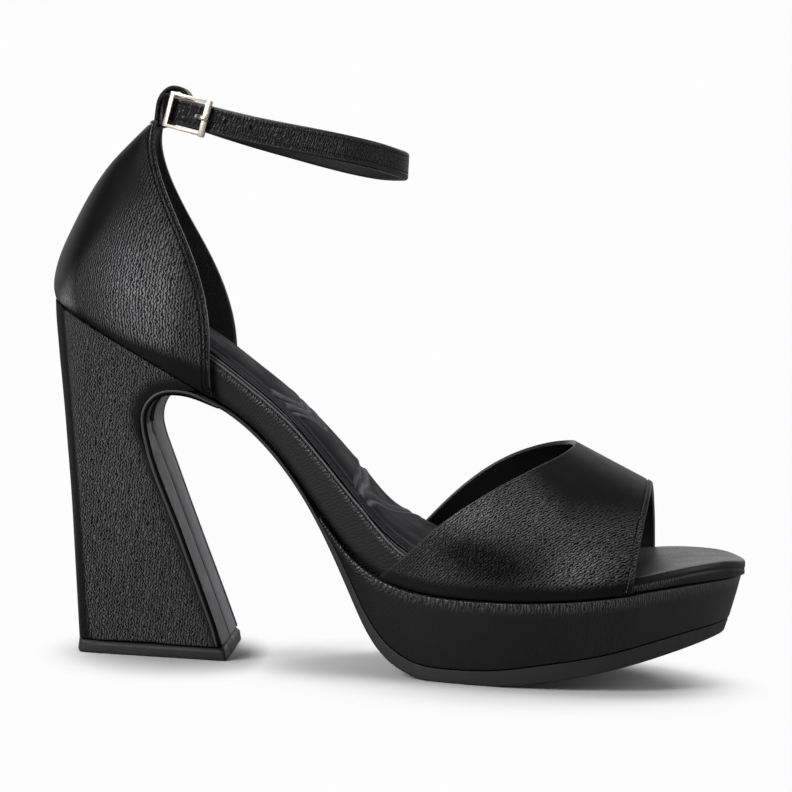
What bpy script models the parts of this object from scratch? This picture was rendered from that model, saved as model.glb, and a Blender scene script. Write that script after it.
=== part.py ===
"""A right-foot platform sandal with a block heel, an open toe and an ankle strap.

Lengths in the tables are in millimetres. X runs from heel to toe, -Y is the outer
(little toe) side, +Y the inner (big toe) side and Z is up. The sandal stands on Z = 0,
on its heel tip and on the flat of its forefoot.
"""

import math
from bisect import bisect_right
from collections import namedtuple

import bmesh
import bpy
from mathutils import Vector

MM = 0.001                  # one millimetre in metres

# ---- driving sizes, mm ----
GAP = 0.32                  # play between pieces that touch on the real sandal
WIDTH_CENTRE = 0.45         # moves the whole sandal sideways, so that it is centred on Y = 0

PLATFORM_START = -21.0      # where the platform begins, under the waist
OUTSOLE_START = -60.0       # the outsole ends at the front of the heel
TOE_START = 62.0            # where the toe's rounding begins
TOE_MIDDLE = 5.0            # Y of the tip of the toe
BOARD_TIP = 113.0           # tip of the insole board
PLATFORM_TIP_TOP = 112.0    # the platform leans in from its top edge to its bottom one
PLATFORM_TIP_BOTTOM = 108.9
OUTSOLE_TIP_TOP = 108.6
OUTSOLE_TIP_BOTTOM = 107.6

HEEL_MIDDLE = 3.0           # Y of the heel's middle line
SEAT_START = -86.2          # where the rounding of the heel seat begins
SEAT_BACK = -109.9          # back of the insole board

BOARD_EDGE_RADIUS = 1.6
BOARD_UNDER_RADIUS = 2.2    # less where the board is thin
PAD_INSET = 1.2             # from the edge of the board to the edge of the pad
PAD_FRONT = 66.0            # the pad ends under the vamp
PAD_RIM = 1.1               # thickness of the pad's sewn rim
PAD_MARGIN = 5.0            # width of the flat margin around the cushions
PAD_NOSE = 8.0              # length of the pad's rounded front end
PAD_NOSE_WIDTH = 0.55       # width of that end at its tip, as a share of the full width
PLATFORM_TAPER = 2.4        # how far the platform's bottom edge is set in
TOE_TAPER_SHARE = 0.6       # share of that taper left round the toe
TAPER_START = -26.0         # the taper grows from nothing here
TAPER_GROWS_OVER = 30.0     # to its full size this far on
PLATFORM_TOP_RADIUS = 0.9
PLATFORM_BOTTOM_RADIUS = 0.4
OUTSOLE_INSET = 0.4         # outsole edge behind the platform's edge
SHEET_INSET = 1.0           # outsole edge behind the board's edge along the shank
SHEET_WIDENS_OVER = 20.0    # length over which the shank's edge runs out to the platform's
OUTSOLE_TOP_RADIUS = 0.2
OUTSOLE_BOTTOM_RADIUS = 0.5
LEVEL_FROM = 12.0           # the underside is level across from here to the toe
LEVEL_FADE = 24.0           # and takes up the board's rise over this length before it

VAMP_WALL = 1.7
VAMP_PROUD = 2.65           # outside of the vamp beyond the side of the board
VAMP_SQUARENESS = 0.85      # under 1, the arch of the vamp is squarer than an ellipse
VAMP_ACROSS = 32            # faces round the arch
VAMP_ALONG = 9              # faces from its rear edge to its front edge
COUNTER_WALL = 2.0
COUNTER_RIM = 0.85          # share of the wall's thickness left at the top of the tab

HEEL_TIP_HEIGHT = 4.1
HEEL_HALF_WIDTH_BOTTOM = 26.6
HEEL_HALF_WIDTH_TOP = 28.4
HEEL_WIDEST = 105.0         # height of that upper width
HEEL_SQUARENESS = 0.9       # under 1, the back of the heel is squarer than an ellipse
HEEL_TIP_SET_BACK = 0.2     # the tip's sides lie this far inside the heel's
HEEL_TIP_FRONT = 0.6        # and its front edge this far ahead of the heel's
HEEL_TIP_FLARE = 0.9        # which grows by this towards the floor
LIP_WIDTH = 1.2             # the leather's folded edge down each side of the heel's breast
BREAST_RECESS = 1.4         # the breast lies this far behind the lips
BREAST_PLATE = 0.9          # thickness of the plate that fills it
SLIT_DEPTH = 0.5
SLIT_WIDTH = 0.9

STRAP_THICKNESS = 2.2
STRAP_WIDTH = 8.6
LOOP_THICKNESS = 1.6
LOOP_WIDTH = 12.5

BUCKLE_LENGTH = 14.0        # along the strap, outside
BUCKLE_HEIGHT = 11.2        # across the strap, outside
BUCKLE_BAR = 1.6            # diameter of the frame's wire
BUCKLE_X = -69.0
BUCKLE_SLOPE = math.radians(11.8)
BUCKLE_PLAY = 0.48          # between the frame and the strap, which is not quite flat
PRONG_DIAMETER = 1.1

# ---- the sole, a row for each station from heel to toe ----
# bed: top of the insole board at its outer edge.   seam: underside of the board.
# welt: underside of the platform.                  tread: underside of the outsole.
# outer, inner: Y of the board's edges before its ends are rounded.
# rise: how much higher the board lies at its inner edge than at its outer one.
# proud: how far the platform's top edge stands out from the board.
Sole = namedtuple("Sole", "x bed seam welt tread outer inner rise proud")
SOLE = [
    Sole(-113, 118.6, 111.3, 110.8, 109.0, -22.6, 28.6, 0.0, 0.0),
    Sole(-90, 111.9, 99.4, 98.9, 97.0, -22.8, 28.8, 0.0, 0.0),
    Sole(-70, 102.4, 89.0, 88.5, 86.8, -22.7, 28.6, 0.0, 0.0),
    Sole(-57, 94.9, 82.3, 81.9, 80.3, -22.2, 27.2, 0.2, 0.2),
    Sole(-46, 87.4, 75.4, 75.0, 73.4, -22.6, 25.2, 0.4, 0.6),
    Sole(-36, 80.1, 66.5, 66.0, 64.1, -23.9, 23.6, 0.9, 1.0),
    Sole(-26, 70.5, 54.8, 53.9, 51.7, -25.9, 23.2, 1.3, 1.2),
    Sole(-20, 64.2, 47.3, 44.9, 42.2, -27.4, 23.6, 1.4, 1.4),
    Sole(-12, 55.5, 37.9, 32.0, 27.4, -29.8, 24.8, 1.5, 1.7),
    Sole(-3, 46.0, 31.4, 15.6, 10.6, -32.6, 27.0, 2.2, 2.0),
    Sole(7, 38.5, 28.0, 6.9, 2.3, -35.5, 30.3, 3.7, 2.2),
    Sole(18, 34.2, 26.7, 4.3, 0.0, -38.4, 34.0, 3.6, 2.4),
    Sole(36, 32.0, 26.6, 5.0, 0.0, -40.9, 38.3, 2.2, 2.4),
    Sole(52, 32.4, 27.5, 7.9, 2.3, -41.3, 40.3, 1.5, 2.4),
    Sole(68, 34.2, 29.4, 11.3, 5.8, -40.2, 40.6, 1.7, 2.2),
    Sole(80, 36.2, 31.3, 14.6, 9.1, -38.4, 39.8, 1.8, 1.8),
    Sole(93, 38.3, 33.4, 18.2, 12.9, -36.2, 37.8, 1.3, 1.3),
    Sole(104, 39.5, 34.6, 20.3, 16.0, -33.6, 35.4, 0.7, 0.9),
    Sole(113, 40.1, 35.0, 21.8, 18.2, -31.0, 33.6, 0.3, 0.6),
]

# ---- cushions of the pad: height over the pad's rim, along the middle ----
Cushion = namedtuple("Cushion", "x height")
CUSHIONS = [
    Cushion(-108, 0.6), Cushion(-96, 1.8), Cushion(-80, 2.6), Cushion(-60, 3.0),
    Cushion(-40, 2.9), Cushion(-30, 3.3), Cushion(-20, 4.1), Cushion(-9, 4.3),
    Cushion(-2, 2.0), Cushion(4, 3.2), Cushion(14, 2.8), Cushion(34, 1.6),
    Cushion(52, 0.8), Cushion(66, 0.3),
]

# ---- the vamp: its middle line, and where its edges run round the instep ----
# crown, ridge: Z and Y of the highest line.
Vamp = namedtuple("Vamp", "x crown ridge")
VAMP = [
    Vamp(-8, 99.0, 6.0), Vamp(15, 92.2, 6.0), Vamp(35, 84.0, 6.0), Vamp(57, 73.8, 5.0),
    Vamp(70, 67.8, 4.5), Vamp(82, 62.3, 4.0), Vamp(90, 58.6, 4.0),
]
# angle: degrees up from the sole, 90 at the crown. rear_*, front_*: X of each edge.
VampEdge = namedtuple("VampEdge", "angle rear_outer rear_inner front_outer front_inner")
VAMP_EDGES = [
    VampEdge(0, -1.4, 0.5, 77.0, 85.0),
    VampEdge(10, 7.8, 8.4, 77.6, 84.8),
    VampEdge(20, 17.2, 16.4, 78.2, 84.5),
    VampEdge(30, 27.8, 24.6, 78.9, 84.2),
    VampEdge(40, 37.2, 32.8, 79.6, 83.8),
    VampEdge(50, 44.9, 40.8, 80.3, 83.4),
    VampEdge(60, 50.8, 47.6, 80.9, 83.0),
    VampEdge(75, 55.6, 54.6, 81.6, 82.4),
    VampEdge(90, 57.0, 57.0, 82.0, 82.0),
]

# ---- the counter: tilted levels from the sole up to the heel tab ----
# back_*, front_*: ends of the level's middle line and of its two free edges.
# half: half the width.  round: share of the depth taken by the rounded back.
# lead: how much further forward the inner side's free edge lies.
Counter = namedtuple("Counter", "back_x back_z front_x front_z half round lead")
COUNTER = [
    Counter(-112.2, 110.95, -57.0, 82.5, 28.5, 0.46, 1.9),
    Counter(-113.1, 113.8, -57.9, 87.8, 28.9, 0.46, 2.2),
    Counter(-112.9, 118.4, -58.4, 96.6, 28.8, 0.46, 2.6),
    Counter(-111.7, 123.8, -59.2, 105.3, 28.0, 0.47, 2.1),
    Counter(-109.9, 128.8, -61.0, 113.5, 26.7, 0.50, 1.3),
    Counter(-107.7, 134.0, -63.9, 121.8, 24.9, 0.54, 0.6),
    Counter(-104.9, 140.4, -68.3, 131.0, 22.4, 0.60, -0.2),
    Counter(-101.5, 147.0, -73.2, 139.8, 19.4, 0.68, -0.8),
    Counter(-97.8, 152.9, -77.2, 147.8, 16.4, 0.76, -1.0),
    Counter(-94.3, 157.2, -79.7, 153.8, 13.8, 0.82, -0.9),
    Counter(-90.8, 161.0, -81.3, 159.2, 11.4, 0.86, -0.6),
    Counter(-87.2, 164.9, -81.9, 163.9, 9.2, 0.88, -0.3),
    Counter(-83.6, 168.7, -81.3, 168.3, 7.2, 0.90, 0.0),
]

# ---- the heel block: levels from the floor up to the seat ----
# back_*: middle of the back.  breast_*: front edge.  round: depth of the rounded back.
# lag: how much further back the breast lies on the inner side.
Heel = namedtuple("Heel", "back_x back_z breast_x breast_z round lag")
HEEL = [
    Heel(-97.1, 4.45, -49.7, 4.45, 3.6, 1.2),
    Heel(-98.3, 14.0, -54.1, 15.5, 4.2, 1.5),
    Heel(-100.3, 31.0, -61.7, 33.0, 5.0, 1.6),
    Heel(-102.1, 46.0, -68.4, 48.0, 6.0, 1.4),
    Heel(-103.6, 57.0, -73.5, 59.2, 6.8, 1.0),
    Heel(-104.7, 64.5, -76.8, 66.2, 7.4, 0.7),
    Heel(-105.5, 70.0, -78.6, 71.2, 8.0, 0.5),
    Heel(-106.3, 75.4, -78.7, 75.2, 8.8, 0.4),
    Heel(-107.2, 80.8, -77.6, 78.8, 9.8, 0.2),
    Heel(-108.1, 86.2, -75.2, 81.6, 11.2, 0.0),
    Heel(-109.1, 92.0, -71.6, 83.5, 13.0, 0.0),
    Heel(-110.1, 98.4, -67.6, 84.1, 15.5, 0.0),
    Heel(-111.1, 104.8, -64.6, 84.25, 18.6, 0.0),
    Heel(-111.7, 110.25, -61.6, 84.3, 22.0, 0.0),
]

# ---- the ankle strap: middle of the band, seen from above, and its height ----
Strap = namedtuple("Strap", "x y z")
STRAP = [
    Strap(-77.2, 3.0, 172.4), Strap(-77.2, -6.0, 172.5), Strap(-77.4, -14.0, 172.4),
    Strap(-76.3, -20.4, 171.9), Strap(-72.4, -22.7, 171.0), Strap(-67.0, -23.5, 169.9),
    Strap(-61.0, -24.4, 168.7), Strap(-51.5, -25.9, 166.9), Strap(-42.0, -26.9, 165.4),
    Strap(-31.0, -26.8, 163.9), Strap(-20.5, -23.4, 162.4), Strap(-10.8, -16.6, 160.7),
    Strap(-4.6, -7.4, 159.1), Strap(-2.4, 3.5, 158.3), Strap(-4.9, 14.4, 158.0),
    Strap(-11.6, 23.8, 158.1), Strap(-21.5, 29.8, 159.4), Strap(-32.5, 32.4, 161.5),
    Strap(-44.0, 32.4, 164.0), Strap(-55.0, 29.8, 166.5), Strap(-65.0, 24.8, 169.1),
    Strap(-73.0, 17.6, 171.4), Strap(-76.6, 10.4, 172.2),
]

# ---- the heel tab's loop, a strip seen from the side ----
LoopPoint = namedtuple("LoopPoint", "x z")
LOOP = [
    LoopPoint(-82.6, 169.1), LoopPoint(-82.0, 172.5), LoopPoint(-80.7, 176.4),
    LoopPoint(-77.9, 178.9), LoopPoint(-74.4, 178.4), LoopPoint(-72.4, 175.4),
    LoopPoint(-72.6, 171.2), LoopPoint(-74.5, 167.7), LoopPoint(-78.0, 166.0),
    LoopPoint(-81.6, 164.4), LoopPoint(-85.0, 161.4), LoopPoint(-87.4, 157.7),
]

Finish = namedtuple("Finish", "colour roughness metallic")
LEATHER = Finish((0.012, 0.012, 0.013), 0.42, 0.0)
SOFT_LEATHER = Finish((0.020, 0.020, 0.022), 0.34, 0.0)
BREAST_GREY = Finish((0.060, 0.060, 0.064), 0.60, 0.0)
RUBBER = Finish((0.016, 0.016, 0.017), 0.70, 0.0)
GOLD = Finish((0.830, 0.730, 0.530), 0.22, 1.0)


# ---- small tools ----

def along(rows, column):
    """A smooth function of the rows' first column, through one of their other columns."""
    xs = [row[0] for row in rows]
    ys = [getattr(row, column) for row in rows]
    steps = [(ys[i + 1] - ys[i]) / (xs[i + 1] - xs[i]) for i in range(len(xs) - 1)]
    slopes = [steps[0]]
    for i in range(1, len(steps)):
        before = xs[i] - xs[i - 1]
        after = xs[i + 1] - xs[i]
        turns = steps[i - 1] * steps[i] <= 0
        mean = (steps[i - 1] * after + steps[i] * before) / (before + after)
        slopes.append(0.0 if turns else mean)
    slopes.append(steps[-1])

    def value(x):
        x = min(max(x, xs[0]), xs[-1])
        i = min(max(bisect_right(xs, x) - 1, 0), len(steps) - 1)
        return hermite(x, xs[i], xs[i + 1], ys[i], ys[i + 1], slopes[i], slopes[i + 1])

    return value


def hermite(x, x0, x1, y0, y1, slope0, slope1):
    width = x1 - x0
    t = (x - x0) / width
    rest = 1 - t
    start = (1 + 2 * t) * rest * rest * y0 + t * rest * rest * width * slope0
    end = t * t * (3 - 2 * t) * y1 - t * t * rest * width * slope1
    return start + end


def smooth_path(points, steps, closed):
    """Points read from a smooth curve through the given points, a few to each stretch."""
    points = [Vector(p) for p in points]
    count = len(points)
    stretches = count if closed else count - 1
    path = []
    for i in range(stretches):
        p1 = points[i]
        p2 = points[(i + 1) % count]
        p0 = points[i - 1] if closed or i > 0 else p1 * 2 - p2
        p3 = points[(i + 2) % count] if closed or i + 2 < count else p2 * 2 - p1
        for k in range(steps):
            t = k / steps
            bend = (p0 * 2 - p1 * 5 + p2 * 4 - p3) * t * t + (p1 * 3 - p0 - p2 * 3 + p3) * t ** 3
            path.append((p1 * 2 + (p2 - p0) * t + bend) / 2)
    if not closed:
        path.append(points[-1])
    return path


def material(name, finish):
    made = bpy.data.materials.new(name)
    made.use_nodes = True
    shader = made.node_tree.nodes["Principled BSDF"]
    shader.inputs["Base Color"].default_value = (*finish.colour, 1.0)
    shader.inputs["Roughness"].default_value = finish.roughness
    shader.inputs["Metallic"].default_value = finish.metallic
    return made


def add_piece(name, verts, faces, finish, smooth_angle=35.0):
    """One closed mesh object; verts are in mm."""
    mesh = bpy.data.meshes.new(name)
    placed = [(x * MM, (y + WIDTH_CENTRE) * MM, z * MM) for x, y, z in verts]
    mesh.from_pydata(placed, [], faces)
    work = bmesh.new()
    work.from_mesh(mesh)
    bmesh.ops.recalc_face_normals(work, faces=work.faces)
    work.to_mesh(mesh)
    work.free()
    mesh.shade_smooth()
    mesh.set_sharp_from_angle(angle=math.radians(smooth_angle))
    mesh.materials.append(material(name, finish))
    piece = bpy.data.objects.new(name, mesh)
    bpy.context.scene.collection.objects.link(piece)
    return piece


def loft(name, rings, finish, closed=False):
    """A solid through rings of equal length, with flat ends unless it closes on itself."""
    size = len(rings[0])
    verts = [point for ring in rings for point in ring]
    faces = []
    spans = len(rings) if closed else len(rings) - 1
    for i in range(spans):
        a = i * size
        b = ((i + 1) % len(rings)) * size
        for k in range(size):
            n = (k + 1) % size
            faces.append((a + k, a + n, b + n, b + k))
    if not closed:
        faces.append(tuple(range(size)))
        faces.append(tuple(range((len(rings) - 1) * size, len(rings) * size)))
    return add_piece(name, verts, faces, finish)


def wall(name, outer, inner, finish):
    """A hollow wall between two matching grids of points, closed round its four edges."""
    rows = len(outer)
    columns = len(outer[0])
    verts = [p for row in outer for p in row] + [p for row in inner for p in row]
    inside = rows * columns
    faces = []
    for i in range(rows - 1):
        for j in range(columns - 1):
            a = i * columns + j
            b = a + columns
            faces.append((a, a + 1, b + 1, b))
            faces.append((inside + a, inside + b, inside + b + 1, inside + a + 1))
    rim = [(0, j) for j in range(columns)]
    rim += [(i, columns - 1) for i in range(1, rows)]
    rim += [(rows - 1, j) for j in range(columns - 2, -1, -1)]
    rim += [(i, 0) for i in range(rows - 2, 0, -1)]
    loop = [i * columns + j for i, j in rim]
    for k, a in enumerate(loop):
        b = loop[(k + 1) % len(loop)]
        faces.append((a, inside + a, inside + b, b))
    return add_piece(name, verts, faces, finish)


# ---- the sole's own functions ----

bed = along(SOLE, "bed")
seam = along(SOLE, "seam")
welt = along(SOLE, "welt")
tread = along(SOLE, "tread")
outer_edge = along(SOLE, "outer")
inner_edge = along(SOLE, "inner")
rise = along(SOLE, "rise")
proud = along(SOLE, "proud")


def slope_gap(line, x):
    """The play between two pieces, measured straight up from a sloping line."""
    slope = (line(x + 0.5) - line(x - 0.5))
    return GAP * math.sqrt(1 + slope * slope)


def quarter_steps(count, reach=0.997):
    """Shares of an end's length, closer together towards its tip."""
    last = math.asin(reach)
    return [math.sin(last * (k + 1) / count) for k in range(count)]


# A station is a place along the sole: kind is seat, middle or toe, and share is how far
# it lies into the rounded end.
Station = namedtuple("Station", "kind x share")


def evenly(first, last, count):
    return [first + (last - first) * k / count for k in range(count + 1)]


# the pieces of the sole share these stations, so that the play between them stays even
SHARED = evenly(SEAT_START, PLATFORM_START, 12) + evenly(PLATFORM_START, TOE_START, 16)[1:]


def stations(first, last, toe_steps=0, seat_steps=0):
    made = [Station("seat", 0, s) for s in reversed(quarter_steps(seat_steps))]
    made += [Station("middle", x, 0.0) for x in SHARED if first - 0.01 < x < last + 0.01]
    made += [Station("toe", 0, s) for s in quarter_steps(toe_steps)]
    return made


def place(station, toe_tip, seat_back=SEAT_BACK):
    """X of a station on a line whose ends lie at toe_tip and seat_back."""
    if station.kind == "toe":
        return TOE_START + (toe_tip - TOE_START) * station.share
    if station.kind == "seat":
        return SEAT_START + (seat_back - SEAT_START) * station.share
    return station.x


def edges(station, x, inset):
    """Y of the outer and the inner edge, set in from the board's edges by inset."""
    outer = outer_edge(x) + inset
    inner = inner_edge(x) - inset
    if station.kind == "middle":
        return outer, inner
    narrow = math.sqrt(1 - station.share ** 2)
    middle = TOE_MIDDLE if station.kind == "toe" else HEEL_MIDDLE
    return middle + (outer - middle) * narrow, middle + (inner - middle) * narrow


def tilt(x, y, lift):
    """How much higher the sole lies at y than at its outer edge, for a lift at its inner one."""
    return lift * (y - outer_edge(x)) / (inner_edge(x) - outer_edge(x))


# One face of a slab: z is its height at the board's outer edge and lift its rise across.
Face = namedtuple("Face", "x y0 y1 z lift radius")


def slab_ring(top, bottom, across=5):
    """A section of a slab between two faces, with rounded corners."""
    ring = []
    for face, down in ((top, -1), (bottom, 1)):
        width = face.y1 - face.y0
        radius = min(face.radius, width * 0.3)
        line = [(face.y0, radius), (face.y0 + 0.29 * radius, 0.29 * radius)]
        for k in range(across + 1):
            line.append((face.y0 + radius + (width - 2 * radius) * k / across, 0.0))
        line += [(face.y1 - 0.29 * radius, 0.29 * radius), (face.y1, radius)]
        if down == 1:
            line.reverse()
        for y, drop in line:
            ring.append((face.x, y, face.z + tilt(face.x, y, face.lift) + down * drop))
    return ring


# ---- pieces ----

def build_insole_board():
    rings = []
    for station in stations(SEAT_START, TOE_START, toe_steps=9, seat_steps=6):
        x = place(station, BOARD_TIP)
        y0, y1 = edges(station, x, 0.0)
        top = Face(x, y0, y1, bed(x), rise(x), BOARD_EDGE_RADIUS)
        under_radius = min(BOARD_UNDER_RADIUS, (bed(x) - seam(x)) * 0.16)
        bottom = Face(x, y0, y1, seam(x), rise(x), under_radius)
        rings.append(slab_ring(top, bottom))
    return loft("insole_board", rings, LEATHER)


def build_insole_pad():
    cushion = along(CUSHIONS, "height")
    shoulders = [0.0, 0.5, 1.0, 1.35, 1.9, 2.8]     # in widths of the margin, from each edge
    heights = [0.0, 0.06, 0.12, 0.50, 0.82, 1.0]    # share of the cushion's height there
    front = PAD_FRONT - PAD_NOSE
    rings = []
    for station in stations(SEAT_START, front - 1.0, seat_steps=6):
        x = place(station, BOARD_TIP, SEAT_BACK + PAD_INSET)
        y0, y1 = edges(station, x, PAD_INSET)
        rings.append(pad_ring(x, y0, y1, cushion(x), shoulders, heights))
    y0, y1 = edges(Station("middle", front, 0.0), front, PAD_INSET)
    for share in quarter_steps(4):
        x = front + PAD_NOSE * share
        narrow = PAD_NOSE_WIDTH + (1 - PAD_NOSE_WIDTH) * math.sqrt(1 - share ** 2)
        middle = (y0 + y1) / 2
        ends = [middle + (y - middle) * narrow for y in (y0, y1)]
        rings.append(pad_ring(x, *ends, cushion(x), shoulders, heights))
    return loft("insole_pad", rings, SOFT_LEATHER)


def pad_ring(x, y0, y1, height, shoulders, heights):
    """A section of the pad: flat margins, with a cushion between them."""
    width = y1 - y0
    margin = min(PAD_MARGIN, width * 0.16)
    base = bed(x) + slope_gap(bed, x) * 1.3

    def surface(y):
        return base + tilt(x, y, rise(x))

    across = [y0 + margin * s for s in shoulders]
    across += [(across[-1] + y1 - margin * shoulders[-1]) / 2]
    across += [y1 - margin * s for s in reversed(shoulders)]
    lifts = heights + [1.0] + heights[::-1]
    top = [(x, y, surface(y) + PAD_RIM + height * share) for y, share in zip(across, lifts)]
    bottom = [(x, y1 + (y0 - y1) * k / 4, surface(y1 + (y0 - y1) * k / 4)) for k in range(5)]
    return top + bottom


def build_platform():
    rings = []
    for station in stations(PLATFORM_START, TOE_START, toe_steps=9):
        x_top = place(station, PLATFORM_TIP_TOP)
        x_bottom = place(station, PLATFORM_TIP_BOTTOM)
        taper = sole_taper(station) * min(1.0, (x_bottom - TAPER_START) / TAPER_GROWS_OVER)
        top_edges = edges(station, x_top, -proud(x_top))
        bottom_edges = edges(station, x_bottom, taper - proud(x_bottom))
        z_top = seam(x_top) - slope_gap(seam, x_top)
        z_bottom = welt(x_bottom) + slope_gap(welt, x_bottom) / 2
        top = Face(x_top, *top_edges, z_top, rise(x_top), PLATFORM_TOP_RADIUS)
        bottom = Face(x_bottom, *bottom_edges, z_bottom, under_lift(x_bottom),
                      PLATFORM_BOTTOM_RADIUS)
        rings.append(slab_ring(top, bottom))
    return loft("platform", rings, LEATHER)


def sole_taper(station):
    return PLATFORM_TAPER * (1.0 if station.kind == "middle" else TOE_TAPER_SHARE)


def under_lift(x):
    """The underside follows the board's rise along the shank and is level at the ball."""
    fade = min(max((LEVEL_FROM - x) / LEVEL_FADE, 0.0), 1.0)
    return rise(x) * fade * fade * (3 - 2 * fade)


def build_outsole():
    rings = []
    for station in stations(OUTSOLE_START, TOE_START, toe_steps=9):
        x_top = place(station, OUTSOLE_TIP_TOP)
        x_bottom = place(station, OUTSOLE_TIP_BOTTOM)
        blend = min(max((x_top - TAPER_START) / SHEET_WIDENS_OVER, 0.0), 1.0)
        under_platform = sole_taper(station) + OUTSOLE_INSET - proud(x_top)
        inset = SHEET_INSET + (under_platform - SHEET_INSET) * blend
        z_top = welt(x_top) - slope_gap(welt, x_top) / 2
        top = Face(x_top, *edges(station, x_top, inset), z_top, under_lift(x_top),
                   OUTSOLE_TOP_RADIUS)
        bottom = Face(x_bottom, *edges(station, x_bottom, inset), tread(x_bottom),
                      under_lift(x_bottom), OUTSOLE_BOTTOM_RADIUS)
        rings.append(slab_ring(top, bottom))
    return loft("outsole", rings, RUBBER)


def build_vamp():
    crown = along(VAMP, "crown")
    ridge = along(VAMP, "ridge")
    rear_outer = along(VAMP_EDGES, "rear_outer")
    rear_inner = along(VAMP_EDGES, "rear_inner")
    front_outer = along(VAMP_EDGES, "front_outer")
    front_inner = along(VAMP_EDGES, "front_inner")

    def surface(turn, share):
        """turn: 0 at the outer side of the sole, 180 at the inner side. share: 0 rear, 1 front."""
        angle = min(turn, 180 - turn)
        on_outer = turn <= 90
        rear = rear_outer(angle) if on_outer else rear_inner(angle)
        front = front_outer(angle) if on_outer else front_inner(angle)
        x = rear + (front - rear) * share
        if on_outer:
            side = outer_edge(x) - VAMP_PROUD
            base = seam(x) + GAP
        else:
            side = inner_edge(x) + VAMP_PROUD
            base = seam(x) + rise(x) + GAP
        lean = math.cos(math.radians(angle)) ** VAMP_SQUARENESS
        up = math.sin(math.radians(angle))
        y = ridge(x) + (side - ridge(x)) * lean * toe_narrow(x)
        return Vector((x, y, base + (crown(x) - base) * up))

    outer = []
    inner = []
    turns = [180 * k / VAMP_ACROSS for k in range(VAMP_ACROSS + 1)]
    shares = [k / VAMP_ALONG for k in range(VAMP_ALONG + 1)]
    nudge = 1.5         # degrees round the arch, to read which way its surface faces
    step = 0.03         # and share of the way forward
    foot_middle = 30.0  # Z of a point inside the arch
    for turn in turns:
        outer_row = []
        inner_row = []
        for share in shares:
            point = surface(turn, share)
            low = max(turn - nudge, 0.0)
            high = min(turn + nudge, 180.0)
            round_it = surface(high, share) - surface(low, share)
            ahead = surface(turn, min(share + step, 1.0))
            along_it = ahead - surface(turn, max(share - step, 0.0))
            normal = along_it.cross(round_it).normalized()
            if turn in (0.0, 180.0):
                normal = Vector((0, 1, 0))
            if normal.dot(point - Vector((point.x, ridge(point.x), foot_middle))) < 0:
                normal.negate()
            outer_row.append(tuple(point))
            inner_row.append(tuple(point - normal * VAMP_WALL))
        outer.append(outer_row)
        inner.append(inner_row)
    return wall("vamp", outer, inner, LEATHER)


def toe_narrow(x):
    """The same rounding towards the tip of the toe as the insole board has."""
    share = max(x - TOE_START, 0.0) / (BOARD_TIP - TOE_START)
    return math.sqrt(1 - share * share)


def counter_level(row, thickness):
    """Outer and inner points of one tilted level, from the outer free edge round the back."""
    back = Vector((row.back_x, 0, row.back_z))
    front = Vector((row.front_x, 0, row.front_z))
    depth = (front - back).length
    ahead = (front - back) / depth
    bow = depth * row.round
    flat = []
    for k in range(8):
        angle = math.pi / 2 * k / 7
        flat.append((bow * (1 - math.cos(angle)), row.half * math.sin(angle)))
    for k in range(1, 5):
        t = k / 4
        flat.append((bow + (depth - bow) * t, row.half * (1 - 0.01 * t * t)))
    half_line = flat
    inner_line = []
    for k, (f, y) in enumerate(half_line):
        f0, y0 = half_line[max(k - 1, 0)]
        f1, y1 = half_line[min(k + 1, len(half_line) - 1)]
        if k == 0:
            f0, y0 = f1, -y1
        run = Vector((f1 - f0, y1 - y0)).normalized()
        inner_line.append((f + run.y * thickness, y - run.x * thickness))

    def mirror(line):
        points = [(f, -y) for f, y in reversed(line)]
        points += [(f + row.lead * max(f / depth, 0) ** 2, y) for f, y in line[1:]]
        return [tuple(back + ahead * f + Vector((0, HEEL_MIDDLE + y, 0))) for f, y in points]

    return mirror(half_line), mirror(inner_line)


def build_counter():
    outer = []
    inner = []
    for k, row in enumerate(COUNTER):
        near_top = k >= len(COUNTER) - 2
        thickness = COUNTER_WALL * (COUNTER_RIM if near_top else 1.0)
        outer_row, inner_row = counter_level(row, thickness)
        outer.append(outer_row)
        inner.append(inner_row)
    return wall("counter", outer, inner, LEATHER)


def heel_outline(row, side, floor=None):
    """Points round one level of the heel: rounded back, flat sides and a breast.

    With a floor, the breast is sunk to that point between two lips.
    """
    back = Vector((row.back_x, 0, row.back_z))
    breast = Vector((row.breast_x, 0, row.breast_z))
    ahead = (breast - back).normalized()
    depth = (breast - back).length
    line = []
    for k in range(9):
        angle = math.pi / 2 * k / 8
        f = row.round * (1 - math.cos(angle) ** HEEL_SQUARENESS)
        line.append((back + ahead * f, side * math.sin(angle) ** HEEL_SQUARENESS))
    line.append((back + ahead * (row.round + depth) / 2, side))
    line.append((breast - ahead * LIP_WIDTH / 2, side))
    line.append((breast, side - LIP_WIDTH / 2))
    if floor:
        line.append((breast, side - LIP_WIDTH))
        line.append((floor, side - LIP_WIDTH))
    points = [(spot, -y) for spot, y in reversed(line)] + line[1:]
    ring = []
    for spot, y in points:
        share = (spot.x - row.back_x) / (row.breast_x - row.back_x)
        lag = row.lag * share * (1 + y / side) / 2
        ring.append((spot.x - lag, HEEL_MIDDLE + y, spot.z))
    return ring


def heel_rows():
    """The heel's levels, with one more between each two of the table."""
    backs = smooth_path([(row.back_x, 0, row.back_z) for row in HEEL], 2, closed=False)
    breasts = smooth_path([(row.breast_x, 0, row.breast_z) for row in HEEL], 2, closed=False)
    others = smooth_path([(row.round, 0, row.lag) for row in HEEL], 2, closed=False)
    return [Heel(a.x, a.z, b.x, b.z, c.x, c.z) for a, b, c in zip(backs, breasts, others)]


def heel_half(z):
    spread = HEEL_HALF_WIDTH_TOP - HEEL_HALF_WIDTH_BOTTOM
    return HEEL_HALF_WIDTH_BOTTOM + spread * z / HEEL_WIDEST


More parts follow.
